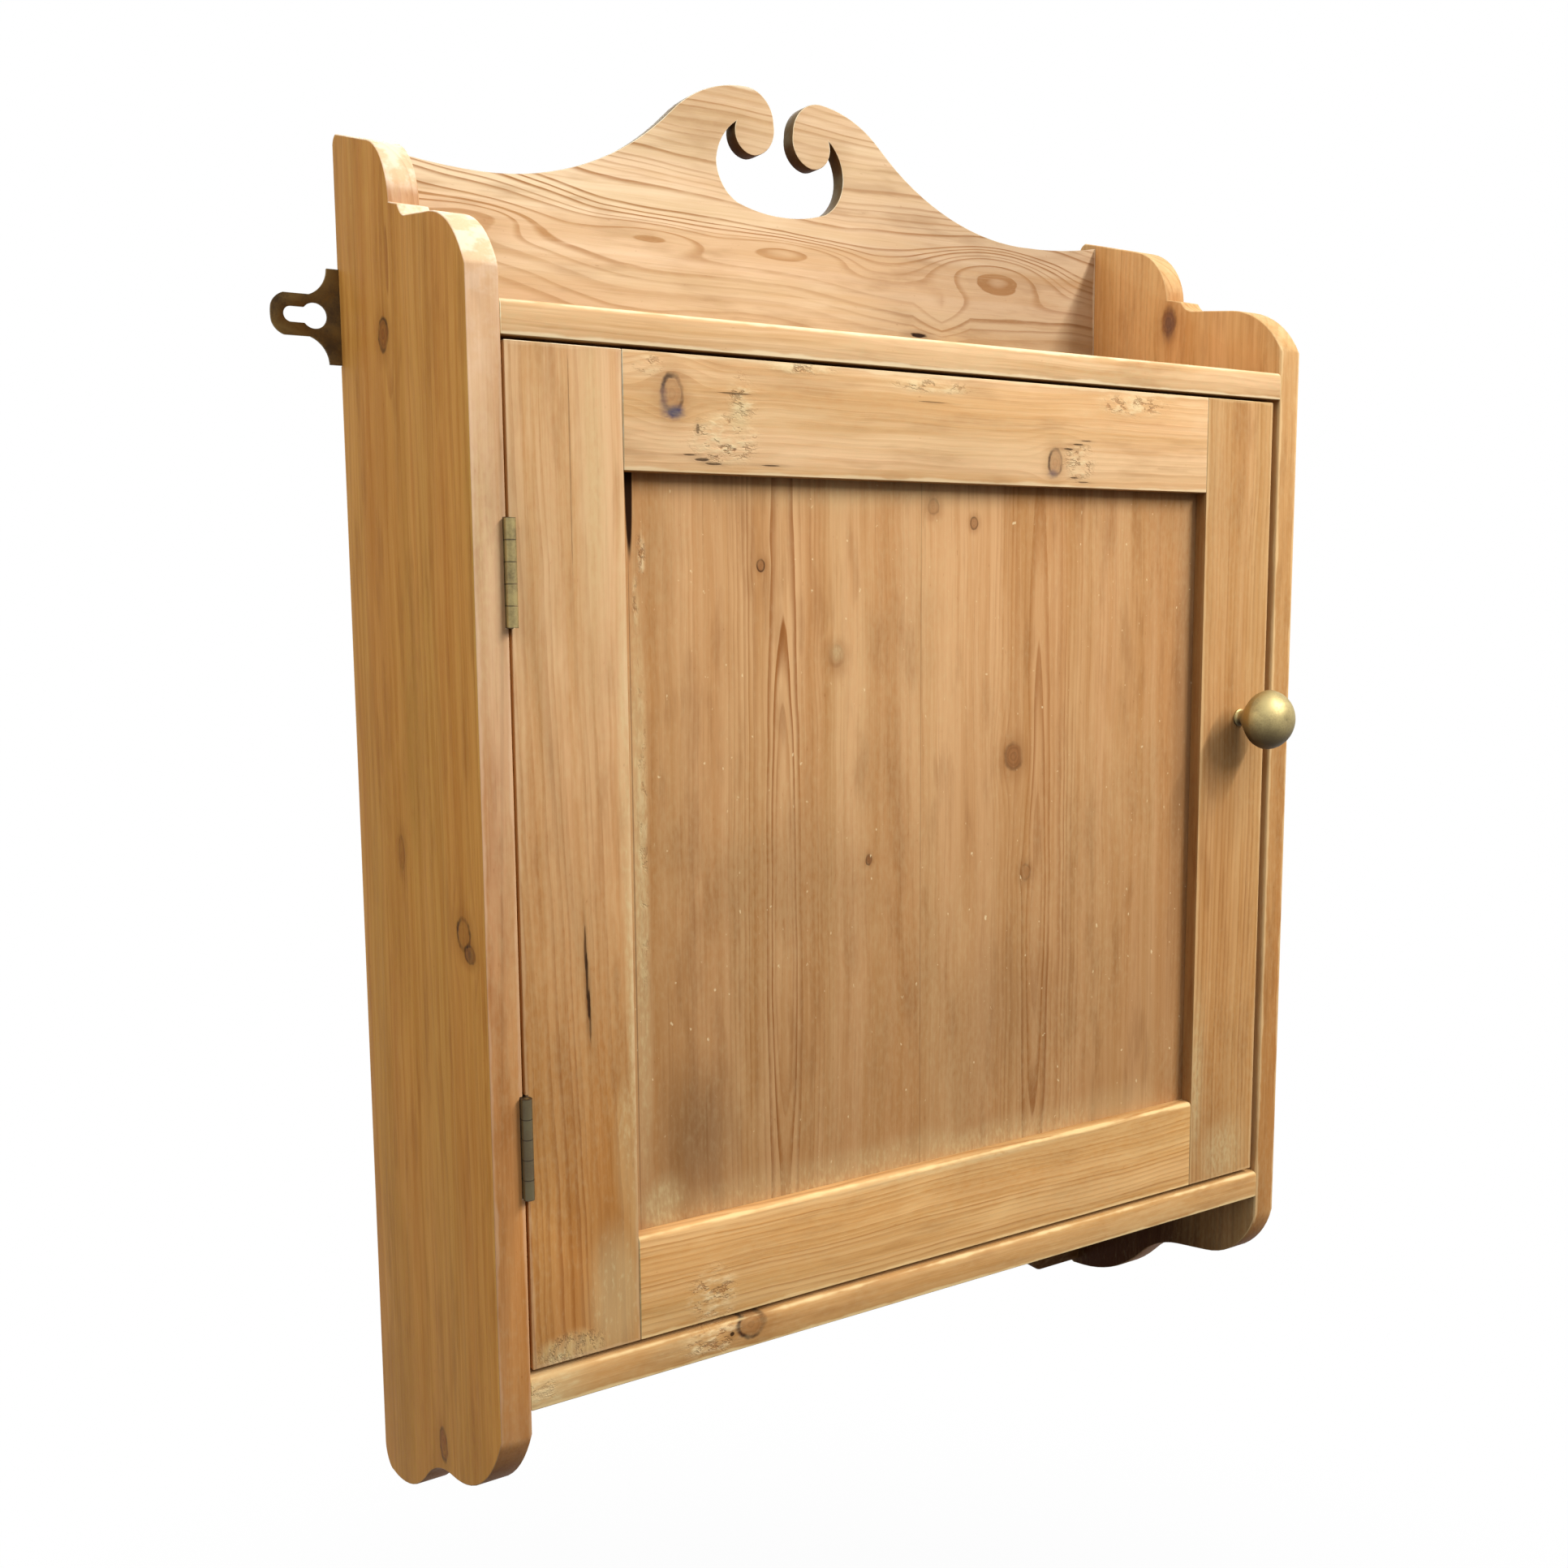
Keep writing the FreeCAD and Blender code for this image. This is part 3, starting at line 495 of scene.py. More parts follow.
def lay_wood(plank, look, late):
    """Bare wood and its rings, with old wax in the streaks, the stains and the pores."""
    strength = look.contrast
    if look.foot_contrast:
        strength = plank.low_end.scaled(look.foot_contrast - look.contrast, look.contrast)
    early = plank.stain(EARLY_WOOD)
    for spot in spots(look.bleached):
        share = (plank.reach(spot) + plank.uneven(BLOTCH, 1.2)).rise(1.3, 0.2) * spot.strength
        early = share.mix(early, plank.stain(PALE_WOOD))
    plank.wood = (late * strength).mix(early, plank.stain(LATE_WOOD))
    plank.lay(plank.streaks(STREAK).rise(0.4, 0.7) * 0.6, AMBER_WAX)
    plank.lay(plank.streaks(THREAD).rise(0.45, 0.66) * look.threads, AMBER_WAX)
    plank.lay(plank.streaks(MOTTLE).rise(0.5, 0.72) * look.mottled, BROWN_WAX)
    plank.lay(plank.streaks(MOTTLE).rise(0.46, 0.26) * look.mottled, PALE_WOOD)
    plank.lay(plank.streaks(BLOTCH).rise(0.5, 0.75) * look.patchy, BROWN_WAX)
    plank.deepen(plank.streaks(OLIVE_BAND).rise(0.36, 0.66) * look.hue, OLIVE_TINT)
    plank.lay(plank.streaks(FIBRE).rise(0.52, 0.75) * 0.22, BROWN_WAX)
    plank.lay(plank.streaks(FIBRE).rise(0.46, 0.25) * 0.22, PALE_WOOD)
    plank.lay(plank.streaks(SPECK).rise(0.3, 0.2) * 0.35, BROWN_WAX)
    plank.height = late * 0.35 + plank.streaks(FIBRE) * 0.5


def lay_knots(plank, look):
    """Knots, each with a ringed heart, a broken dark rim and stained wood about it, and smudges."""
    wobble = plank.uneven(WOBBLE, 0.5) + plank.uneven(FINE_WOBBLE, 0.35)
    broken = plank.streaks(BROKEN_RIM).rise(0.34, 0.6).scaled(0.6, 0.4)
    for spot in spots(look.knots):
        reach = plank.reach(spot) + wobble
        heart = reach.rise(1.1, 0.8)
        rim = reach.rise(0.74, 0.98) * reach.rise(1.3, 1.02) * broken
        circles = (reach * 2.6).math("FRACT").rise(0.3, 0.9)
        plank.lay(reach.rise(2.7, 0.8) * 0.4, BROWN_WAX)
        plank.lay(heart * spot.heart, KNOT_HEART)
        plank.lay(heart * circles * (spot.heart * 0.35), KNOT_RIM)
        plank.lay(rim * spot.strength, KNOT_RIM)
        plank.height = plank.height - rim * 0.5
    for spot in spots(look.smudged):
        plank.lay((plank.reach(spot) + plank.uneven(SPECK, 0.8)).rise(1.3, 0.2) * spot.strength, SMUDGE)


def lay_torn_grain(plank, look):
    """Lifted fibres, pale on top and dark in the breaks between them."""
    lifted = plank.streaks(LIFTED)
    creases = abs(plank.streaks(CREASE) - 0.5).rise(0.05, 0.01)
    breaks = creases * plank.streaks(CREASE_GAP).rise(0.42, 0.56)
    ragged = plank.uneven(BLOTCH, 1.4) + plank.uneven(SPECK, 0.5)
    for spot in spots(look.torn):
        area = (plank.reach(spot) + ragged).rise(1.3, 0.5) * spot.strength
        plank.cover(area * lifted.rise(0.42, 0.66) * 0.8, TORN_PALE)
        plank.cover(area * breaks * 0.75, KNOT_HEART)
        plank.height = plank.height + (lifted - breaks) * area * 3.0


def lay_dirt(plank, look):
    """Grime on parts of the show face, in places painted shade as well, and the lower end darkened as
    painted shade.
    """
    ragged = plank.uneven(BLOTCH, 1.2) + plank.uneven(THREAD, 0.6)
    for spot in spots(look.grimy):
        area = (plank.reach(spot) + ragged).rise(1.2, 0.1)
        plank.lay(area * plank.show_face() * spot.strength, GRIME)
    # Painted shade: the lower end darkens as the light falls off downwards.
    if look.foot_tint:
        share = plank.low_end
        if look.face_tint:
            share = share * (1.0 - plank.broad_faces())
        plank.deepen(share, look.foot_tint)


def lay_residue(plank, look):
    """Lime and old paint left in the surface, thickest in the limed places. Gives how much is left where."""
    flecks = (plank.streaks(SPECK) + plank.streaks(BLOTCH)).rise(0.88, 1.32)
    left = flecks * look.pale
    for spot in spots(look.limed):
        area = (plank.reach(spot) + plank.uneven(BLOTCH, 1.6)).rise(1.3, 0.2)
        left = largest(left, area * flecks.scaled(0.6, 0.4) * spot.strength)
    plank.cover(left, LIME_RESIDUE)
    if look.dots:
        plank.cover(plank.streaks(PAINT_DOT).rise(0.7, 0.76) * look.dots, TORN_PALE)
    return left


def lay_wear(plank, look):
    """Rubbed arrises, pale partly from wear and partly as a painted highlight where light catches them. The
    distance to the nearest edge of a box is the second smallest to its sides.
    """
    gaps = [abs(part).scaled(-1.0, half) for part, half in zip(plank.parts, plank.half)]
    to_edge = largest(smallest(gaps[0], gaps[1]), smallest(largest(gaps[0], gaps[1]), gaps[2]))
    chafe = (plank.streaks(CHAFE) - 0.35) * CHAFE_SPREAD
    eased = plank.place.node("ShaderNodeAttribute", {"attribute_name": "eased"}, {}, 2)
    rubbed = (to_edge - chafe).rise(CHAFE_FADE, 0.0)
    worn = largest(rubbed, eased * plank.streaks(BLOTCH).rise(0.3, 0.6))
    plank.lay(worn * (0.6 * look.edge_wear), WORN_ARRIS)


def lay_faces(plank, look, late):
    """How faces differ: painted light and shade on the broad faces and the edges, end grain that shows less
    on ends that look down, painted shade on undersides, and darker tops.
    """
    upward = plank.facing[2]
    # Painted light and shade: a lit broad face is brightened and a shaded one darkened.
    if look.face_tint:
        plank.deepen(plank.broad_faces(), look.face_tint)
    # End grain gives way on ends that look down, as painted shade.
    end = abs(plank.facing[plank.length_axis]).rise(0.15, 0.4) * upward.rise(-0.3, 0.0).scaled(0.9, 0.1)
    scuffed = plank.streaks(END_SCUFF).rise(0.42, 0.62)
    clean = (plank.streaks(END_PORE) * 0.4 + scuffed * 0.6).rise(0.1, 0.8)
    end_wood = clean.mix(plank.stain(END_PORES), plank.stain(END_GRAIN))
    plank.wood = (end * late.scaled(-0.3, look.bare_ends)).mix(plank.wood, end_wood)
    # Painted shade on the edges.
    if look.sawn_tint:
        plank.deepen(abs(plank.facing[plank.depth_axis]).rise(0.8, 0.4), look.sawn_tint)
    # Painted shade on faces that look down.
    plank.deepen(upward.rise(-0.15, -0.8), UNDERSIDE_DIRT)
    if look.top_tint:
        plank.deepen(upward.rise(0.8, 0.98), look.top_tint)


def lay_cracks(plank, look):
    """Open cracks with dirt about them, the seams where pieces meet, dark as painted shade where a seam has
    opened, and the glue line.
    """
    for spot in spots(look.cracks):
        reach = plank.reach(spot) + plank.uneven(CRACK_EDGE, 1.5)
        gap = reach.rise(1.0, 0.6)
        plank.lay(reach.rise(2.6, 0.6) * (spot.strength * 0.3), GRIME)
        plank.lay(gap * spot.strength, CRACK_DARK)
        plank.height = plank.height - gap * 1.6
    for spot in spots(look.seams):
        plank.lay(plank.reach(spot).rise(1.0, 0.7) * spot.strength, CRACK_DARK)
    if look.second:
        plank.lay(abs(plank.across - look.second[0] * MM).rise(0.5 * MM, 0.1 * MM) * 0.3, GRIME)


def pine(name, node, grain, face, seed, pith, **details):
    """Waxed pine for one board, from the bare wood to its wear.

    grain is the axis that the fibres follow and face the outward direction of the board's show face.
    """
    look = Look(pith, **details)
    plank = Plank(name, node, grain, face, seed, look.tint)
    late = growth_rings(plank, look)
    lay_wood(plank, look, late)
    lay_knots(plank, look)
    lay_torn_grain(plank, look)
    lay_dirt(plank, look)
    left = lay_residue(plank, look)
    lay_wear(plank, look)
    lay_faces(plank, look, late)
    lay_cracks(plank, look)
    bump = plank.place.node(
        "ShaderNodeBump",
        {},
        {"Strength": 0.55, "Distance": 0.35 * MM, "Height": plank.height},
    )
    put(
        plank.shader,
        Base_Color=plank.wood,
        Roughness=left * 0.25 + plank.streaks(FIBRE).scaled(0.2, 0.4) - late * 0.08,
        Normal=bump,
        Specular_IOR_Level=look.sheen,
    )
    return plank.material


def metal(name, base, tarnish, seed, roughness, dull, bright=1.0, under=0.0, joints=None):
    """Old metal: a handled sheen with tarnish in clouds and fine scratches.

    dull is how far the tarnish covers it, bright how metallic its cleanest places are, and under
    how far its underside is darkened as painted shade. joints gives the height of a joint across the metal
    and the step to the next, in mm: a dark line runs round each.
    """
    material, shader, place = new_finish(name)
    cloud = place.stretched(CLOUD_WAVES, (seed,) * 3).noise(4.0, 0.6)
    grit = place.stretched(GRIT_WAVES, (seed + 4.0,) * 3).noise(2.0, 0.6)
    scratch = place.stretched(SCRATCH_WAVES, (seed,) * 3).noise(2.0, 0.5)
    foul = (cloud * 0.8 + grit * 0.2).rise(0.4, 0.68)
    tint = (foul * dull).mix(colour(base), colour(tarnish))
    # Painted shade on the underside.
    if under:
        normal = place.node("ShaderNodeSeparateXYZ", {}, {0: place.also("Normal")}, 2)
        tint = ((normal + (cloud - 0.5) * 0.6).rise(0.35, -0.75) * under).mix(tint, colour(CRACK_DARK))
    if joints:
        height = place.node("ShaderNodeSeparateXYZ", {}, {0: place}, 2)
        turn = height.scaled(1 / (joints[1] * MM), -joints[0] / joints[1]).math("PINGPONG", 0.5)
        tint = (turn.rise(0.045, 0.01) * 0.7).mix(tint, colour(CRACK_DARK))
    bump = place.node(
        "ShaderNodeBump",
        {},
        {"Strength": 0.25, "Distance": 0.1 * MM, "Height": grit * 0.6 + scratch * 0.6},
    )
    put(
        shader,
        Base_Color=tint,
        Metallic=foul.scaled(-0.5 * dull * bright, bright),
        Roughness=roughness + foul * 0.2 + (scratch - 0.5) * 0.15,
        Normal=bump,
    )
    return material


def show(piece_name, mesh, body, finish, nodes):
    """Puts a finished mesh in the scene, riding on its body and standing for its nodes."""
    data = bpy.data.meshes.new(piece_name)
    mesh.to_mesh(data)
    mesh.free()
    data.materials.append(finish)
    piece = bpy.data.objects.new(piece_name, data)
    bpy.context.scene.collection.objects.link(piece)
    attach(piece, body)
    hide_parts(*nodes)


def outer_edges(mesh, shortest):
    """The convex sharp edges of a mesh that are longer than shortest."""
    return [
        edge for edge in mesh.edges
        if edge.is_manifold and edge.is_convex
        and edge.calc_face_angle() > SHARP_TURN and edge.calc_length() > shortest
    ]


def on_sides(edge, levels):
    """Whether an edge lies on all the given levels, each an axis and a distance along it."""
    return all(
        abs(corner.co[axis] - level) < SAME_LEVEL for axis, level in levels for corner in edge.verts
    )


def eased_copy(node, arris, shortest, soft=None):
    """A copy of a node's mesh with its outer arrises rounded over and marked as eased.

    soft names two sides of the node's box and the larger radius that their arris has worn to.
    """
    mesh = bmesh.new()
    mesh.from_mesh(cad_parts[node].data)
    bmesh.ops.remove_doubles(mesh, verts=mesh.verts, dist=SAME_POINT)
    bmesh.ops.dissolve_limit(mesh, angle_limit=FLAT_TURN, verts=mesh.verts, edges=mesh.edges)
    curve = set()
    rounds = [((), arris)]
    if soft:
        corners = dict(zip("-+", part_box(node)))
        levels = [(AXES.index(side[1]), corners[side[0]][AXES.index(side[1])]) for side in soft[:2]]
        rounds.insert(0, (levels, soft[2] * MM))
    for levels, radius in rounds:
        chosen = [edge for edge in outer_edges(mesh, shortest) if on_sides(edge, levels)]
        rounded = bmesh.ops.bevel(
            mesh, geom=chosen, offset=radius, offset_type="OFFSET", segments=3, profile=0.5,
            affect="EDGES", material=-1, clamp_overlap=True,
        )
        curve.update(rounded["faces"])
    eased = mesh.verts.layers.float.new("eased")
    for face in mesh.faces:
        face.smooth = True
        for corner in face.verts:
            corner[eased] = float(curve.issuperset(corner.link_faces))
    for edge in mesh.edges:
        edge.smooth = edge.calc_face_angle(0.0) < SMOOTH_TURN
    return mesh


def board(node, body, finish, arris=0.9, soft=None):
    """A pine board of the frame with worn arrises."""
    mesh = eased_copy(node, arris * MM, shortest=0.7 * MM, soft=soft)
    show(node + "_worn", mesh, body, finish, [node])


# Show boards of the case.
# The left side's outer face is darkened as painted shade, and its lower end too.
board("left_side", "carcass", pine(
    "left_side_pine", "left_side", "z", "-x", 1.0, (24.0, 80.0), ring=7.0, contrast=0.9,
    tint=(1.0, 1.04, 1.4), face_tint=(0.98, 0.79, 0.32), foot_tint=(0.88, 0.69, 0.39),
    threads=0.6, hue=0.6, edge_wear=0.4,
    knots=[
        (287.5, 22.5, 8.5, 7.5, 0.9, 0.9), (-33.0, -70.5, 8.0, 9.0, 1.0, 0.2),
        (-42.5, -79.0, 4.5, 7.0, 1.0, 0.5), (-1.8, 24.6, 9.0, 5.0, 0.3, 0.3),
        (-347.5, -10.5, 9.0, 6.0, 0.8, 0.8),
    ],
    eyes=[(322.0, 12.0, 70.0, 13.0, 14.0)],
    smudged=[(-43.0, -79.0, 5.0, 6.0, 0.5)],
    limed=[(170.0, -101.0, 130.0, 3.0, 0.45)],
))
# The right side's inner face is brightened as painted light, and its foot darkened as painted shade where it
# lies in deep shade below the bottom board.
board("right_side", "carcass", pine(
    "right_side_pine", "right_side", "z", "-x", 2.0, (-30.0, 42.0), contrast=0.35,
    tint=(1.0, 0.99, 0.97), face_tint=(1.2, 1.26, 1.28), foot_tint=(0.84, 0.72, 0.58),
    threads=0.3, bare_ends=0.3,
    knots=[(338.3, 4.7, 10.0, 7.0, 0.3, 0.7)],
    smudged=[(337.0, 4.0, 13.0, 7.0, 0.55)],
    grimy=[(-440.0, 20.0, 230.0, 220.0, 1.0)],
))
# The gable's edges are darkened as painted shade.
board("gable_board", "carcass", pine(
    "gable_pine", "gable_board", "x", "-y", 3.0, (-120.0, 90.0), ring=5.0, line=0.5, taper=0.02, sway=13.0,
    wave=5.0, contrast=2.0, tint=(1.14, 1.48, 2.16), sawn_tint=(0.22, 0.17, 0.12), threads=0.25,
    eyes=[
        (181.0, -6.5, 58.0, 19.0, 24.0), (-300.0, 0.0, 130.0, 60.0, 16.0), (5.0, -9.0, 46.0, 8.0, 13.0),
        (-100.0, -10.0, 45.0, 9.0, 14.0), (-215.0, -10.0, 40.0, 9.0, 9.0),
    ],
    folds=[(134.0, -40.0, 26.0, 18.0, 8.0)],
    bleached=[(-210.0, -20.0, 190.0, 90.0, 0.9)],
    grimy=[(230.0, -20.0, 200.0, 100.0, 0.3)],
    cracks=[(114.0, -56.0, 9.0, 2.0, 1.0)],
))
board("top_board", "carcass", pine(
    "top_board_pine", "top_board", "x", "-y", 4.0, (-70.0, 40.0), contrast=0.4,
    tint=(1.33, 1.52, 1.92), top_tint=(0.84, 0.78, 0.68), pale=0.3,
), arris=0.5, soft=("-y", "+z", 3.5))
board("bottom_board", "carcass", pine(
    "bottom_board_pine", "bottom_board", "x", "-y", 5.0, (-60.0, 50.0), contrast=0.45,
    tint=(0.95, 1.0, 0.97), edge_wear=1.5,
    knots=[(-144.6, 4.0, 9.0, 7.5, 1.0, 0.45)],
    torn=[(-170.0, 1.0, 18.0, 9.0, 0.9), (-277.0, -1.0, 9.0, 8.0, 0.6)],
    limed=[(-276.0, 0.0, 30.0, 16.0, 1.0), (-190.0, 2.0, 26.0, 8.0, 0.5)],
    cracks=[(-157.0, 1.5, 1.6, 1.6, 0.9)],
), arris=0.6, soft=("-y", "+z", 4.0))
# The apron's dark tint is painted shade: it hangs in deep shade below the bottom board.
board("apron_board", "carcass", pine(
    "apron_pine", "apron_board", "x", "-y", 6.0, (-90.0, 60.0), tint=(0.25, 0.18, 0.13),
))

# The framed door. A seam is the tight line where a rail meets a stile.
SEAM = 0.8
SHOULDER = 215.0
# The lower ends of the stiles and the panel are darkened as painted shade, and the knob stile's edges too.
board("hinge_stile", "door", pine(
    "hinge_stile_pine", "hinge_stile", "z", "-y", 7.0, (-140.0, 45.0), ring=4.4, taper=0.03, sway=3.0,
    heave=4.0, contrast=1.3, foot_contrast=3.0, figure=110.0,
    tint=(1.1, 1.2, 1.46), foot_tint=(0.72, 0.55, 0.32), patchy=0.15, edge_wear=0.3,
    cracks=[
        (-44.0, 4.0, 14.0, 0.7, 0.7), (-60.0, 4.6, 15.0, 1.0, 0.85), (-73.0, 5.4, 11.0, 1.1, 0.9),
        (-85.0, 5.9, 11.0, 0.6, 0.5), (213.0, 1.9, 62.0, 0.4, 0.25),
    ],
    seams=[(239.0, 32.5, 40.0, SEAM, 0.4), (-240.0, 32.5, 40.0, SEAM, 0.4)],
    torn=[(-263.0, -12.0, 8.0, 18.0, 0.8)],
    limed=[
        (-240.0, 18.0, 38.0, 16.0, 1.0), (-265.0, -10.0, 10.0, 28.0, 1.0), (-60.0, 31.0, 200.0, 5.0, 0.75),
        (60.0, 30.0, 160.0, 6.0, 0.6), (200.0, 16.0, 120.0, 12.0, 0.5), (-150.0, 27.0, 50.0, 9.0, 0.6),
    ],
), arris=0.6)
board("knob_stile", "door", pine(
    "knob_stile_pine", "knob_stile", "z", "-y", 8.0, (160.0, 60.0), ring=3.6, taper=0.004, sway=3.0,
    heave=4.0, contrast=0.6, foot_contrast=0.7,
    tint=(0.96, 0.95, 0.92), foot_tint=(0.96, 0.92, 0.84), sawn_tint=(0.62, 0.55, 0.46), edge_wear=0.6,
    limed=[(-200.0, -26.0, 80.0, 8.0, 0.7), (-252.0, 0.0, 36.0, 32.0, 0.7)],
    grimy=[(30.0, 2.0, 60.0, 26.0, 0.15)],
    seams=[(239.0, -32.5, 40.0, SEAM, 0.3), (-240.0, -32.5, 40.0, SEAM, 0.3)],
), arris=0.6)
board("top_rail", "door", pine(
    "top_rail_pine", "top_rail", "x", "-y", 9.0, (-110.0, 55.0), ring=4.2, taper=0.006, sway=4.0,
    contrast=0.6, tint=(1.4, 1.6, 2.02), top_tint=(0.58, 0.48, 0.38), patchy=0.25, edge_wear=0.6,
    knots=[(-185.7, 9.9, 6.0, 9.0, 1.0, 0.3), (81.9, -16.1, 5.2, 7.6, 1.0, 0.35)],
    smudged=[(-184.5, 0.5, 6.5, 4.0, 1.0), (-191.0, 6.0, 3.0, 10.0, 0.4), (80.0, -23.0, 5.0, 3.0, 0.5)],
    cracks=[
        (-176.0, -21.4, 5.0, 0.7, 0.7), (-168.0, -23.7, 5.0, 0.8, 0.8), (-161.0, -25.8, 5.0, 0.7, 0.7),
        (-124.8, -25.4, 8.0, 0.6, 0.7), (-147.0, 12.1, 12.0, 0.5, 0.5), (-12.0, 15.0, 14.0, 0.5, 0.4),
        (93.0, -7.5, 5.0, 0.7, 0.8), (100.0, -4.5, 5.0, 0.6, 0.8), (107.0, -2.0, 5.0, 0.5, 0.7),
        (98.0, -25.0, 5.0, 0.7, 0.7), (105.0, -27.5, 5.0, 0.6, 0.6), (-170.7, -7.6, 1.2, 3.0, 0.5),
    ],
    torn=[
        (-154.0, -12.0, 22.0, 15.0, 1.0), (-143.0, 10.0, 11.0, 14.0, 0.9), (-106.0, 28.0, 26.0, 3.5, 0.9),
        (-15.0, 24.0, 30.0, 4.0, 0.8), (146.0, 22.0, 30.0, 7.0, 0.8), (102.0, -14.0, 13.0, 12.0, 0.8),
        (-200.0, 24.0, 10.0, 6.0, 0.6),
    ],
    limed=[(-145.0, 2.0, 10.0, 22.0, 0.6), (-20.0, 24.0, 60.0, 9.0, 0.3)],
    seams=[(-SHOULDER, 0.0, SEAM, 45.0, 0.4), (SHOULDER, 0.0, SEAM, 45.0, 0.3)],
    grimy=[(-190.0, 8.0, 26.0, 20.0, 0.12)],
), arris=0.6)
board("bottom_rail", "door", pine(
    "bottom_rail_pine", "bottom_rail", "x", "-y", 10.0, (-120.0, 50.0), ring=3.0, taper=0.006, sway=6.0,
    contrast=0.8, tint=(1.16, 1.22, 1.16),
    torn=[(-168.0, -16.0, 17.0, 18.0, 0.8)],
    seams=[(-SHOULDER, 0.0, SEAM, 45.0, 0.5), (SHOULDER, 0.0, SEAM, 45.0, 0.4)],
    limed=[(40.0, 27.0, 190.0, 5.0, 0.6)],
), arris=0.6, soft=("-y", "+z", 3.0))
board("door_panel", "door", pine(
    "door_panel_pine", "door_panel", "z", "-y", 11.0, (-112.5, 10.0), second=(-14.0, 79.0), taper=0.004,
    sway=4.0, heave=5.0, contrast=1.0, figure=28.0,
    tint=(0.93, 0.91, 0.94), foot_tint=(0.86, 0.86, 0.84),
    threads=0.35, hue=0.3, dots=0.6, edge_wear=0.0, sheen=0.01,
    knots=[
        (160.3, -126.2, 3.2, 2.4, 0.9, 0.5), (41.4, 58.7, 8.0, 6.5, 0.4, 0.6),
        (-13.8, -52.5, 3.0, 2.0, 0.9, 0.9), (186.2, 26.0, 3.5, 2.6, 0.9, 0.4),
        (107.7, -75.4, 6.0, 5.0, 0.1, 0.25), (-33.4, 69.8, 5.0, 4.0, 0.25, 0.15),
        (195.2, -5.0, 4.5, 4.0, 0.3, 0.2),
    ],
    eyes=[(-47.0, -112.5, 150.0, 12.0, 8.0), (-30.0, 79.0, 130.0, 12.0, 7.0)],
    limed=[
        (-208.0, -20.0, 20.0, 240.0, 0.7), (-200.0, -196.0, 20.0, 18.0, 1.0), (0.0, -205.0, 210.0, 6.0, 0.9),
        (205.0, -60.0, 14.0, 120.0, 0.45), (110.0, -75.0, 6.0, 5.0, 0.7),
    ],
    bleached=[(110.0, -80.0, 150.0, 170.0, 0.8)],
    grimy=[
        (-160.0, -170.0, 50.0, 28.0, 0.4), (60.0, 208.0, 200.0, 14.0, 0.3), (-120.0, 60.0, 60.0, 60.0, 0.15),
    ],
    # The first seam is painted shade in the open gap where the panel has shrunk from the hinge stile.
    seams=[(205.0, -208.0, 46.0, 2.6, 1.0), (-20.0, -208.8, 225.0, 0.5, 0.4)],
    torn=[(165.0, -201.0, 14.0, 3.0, 0.8), (140.0, -205.0, 16.0, 2.5, 0.8), (20.0, -203.0, 90.0, 3.0, 0.5)],
))

# Boards seen only with the door open or from behind.
INSIDE = {"tint": (1.05, 1.08, 1.12), "contrast": 0.7, "edge_wear": 0.5}
BACK_BOARDS = 6
SHELVES = ("lower_shelf", "upper_shelf")
BATTENS = ("lower_batten_left", "lower_batten_right", "upper_batten_left", "upper_batten_right")


def inner_board(node, finish_name, grain, face, seed, pith, arris=0.7):
    """A plain board of the inside, on the carcass."""
    finish = pine(finish_name, node, grain, face, seed, pith, **INSIDE)
    board(node, "carcass", finish, arris)


for number in range(1, BACK_BOARDS + 1):
    pith = (17.0 * (number % 3 - 1), 50.0)
    inner_board(f"back_board_{number}", f"back_pine_{number}", "z", "-y", 12.0 + number, pith)
for number, shelf in enumerate(SHELVES):
    inner_board(shelf, f"{shelf}_pine", "x", "-y", 20.0 + number, (-60.0, 60.0), arris=0.9)
for number, batten in enumerate(BATTENS):
    side = "+x" if "left" in batten else "-x"
    inner_board(batten, f"{batten}_pine", "y", side, 24.0 + number, (40.0, 40.0))
inner_board("door_stop", "door_stop_pine", "z", "-y", 29.0, (40.0, 40.0))


def moulded_brown(name):
    """Brown moulded plastic with a fine grain."""
    material, shader, place = new_finish(name)
    grain = place.stretched(MOULDED_WAVES).noise(2.0)
    put(
        shader,
        Base_Color=grain.rise(0.3, 0.7).mix(colour(MOULDED_DARK), colour(MOULDED_LIGHT)),
        Roughness=0.45 + (grain - 0.5) * 0.2,
    )
    return material


# Metal fittings and the catch.
knob_brass = metal("knob_brass", "bfae7a", "766746", seed=3.0, roughness=0.5, dull=0.6, under=0.9)
bronze = metal("hanger_bronze", "6f5833", "3d2b15", seed=6.0, roughness=0.42, dull=0.8)
screw_brass = metal("screw_brass", "a3925f", BRASS_TARNISH, seed=9.0, roughness=0.34, dull=0.85)
steel = metal("nail_steel", "8f8a84", "4c3a2c", seed=5.0, roughness=0.42, dull=0.8)
catch_plastic = moulded_brown("catch_case_brown")

KNUCKLES = 5
HINGE_BRASS = {"upper_hinge": "a4925e", "lower_hinge": "5d5337"}
for hinge, base in HINGE_BRASS.items():
    foot, head = (corner.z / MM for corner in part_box(f"{hinge}_pin"))
    hinge_brass = metal(
        f"{hinge}_brass", base, BRASS_TARNISH, seed=9.0, roughness=0.34, dull=0.7, bright=0.4,
        joints=(foot, (head - foot) / KNUCKLES),
    )
    for part, body in (("frame_leaf", "carcass"), ("door_leaf", "door")):
        node = f"{hinge}_{part}"
        leaf = eased_copy(node, arris=0.25 * MM, shortest=0.4 * MM)
        show(node + "_worn", leaf, body, hinge_brass, [node])
for hanger in ("left_hanger", "right_hanger"):
    plate = eased_copy(hanger, arris=0.35 * MM, shortest=0.3 * MM)
    show(hanger + "_worn", plate, "carcass", bronze, [hanger])
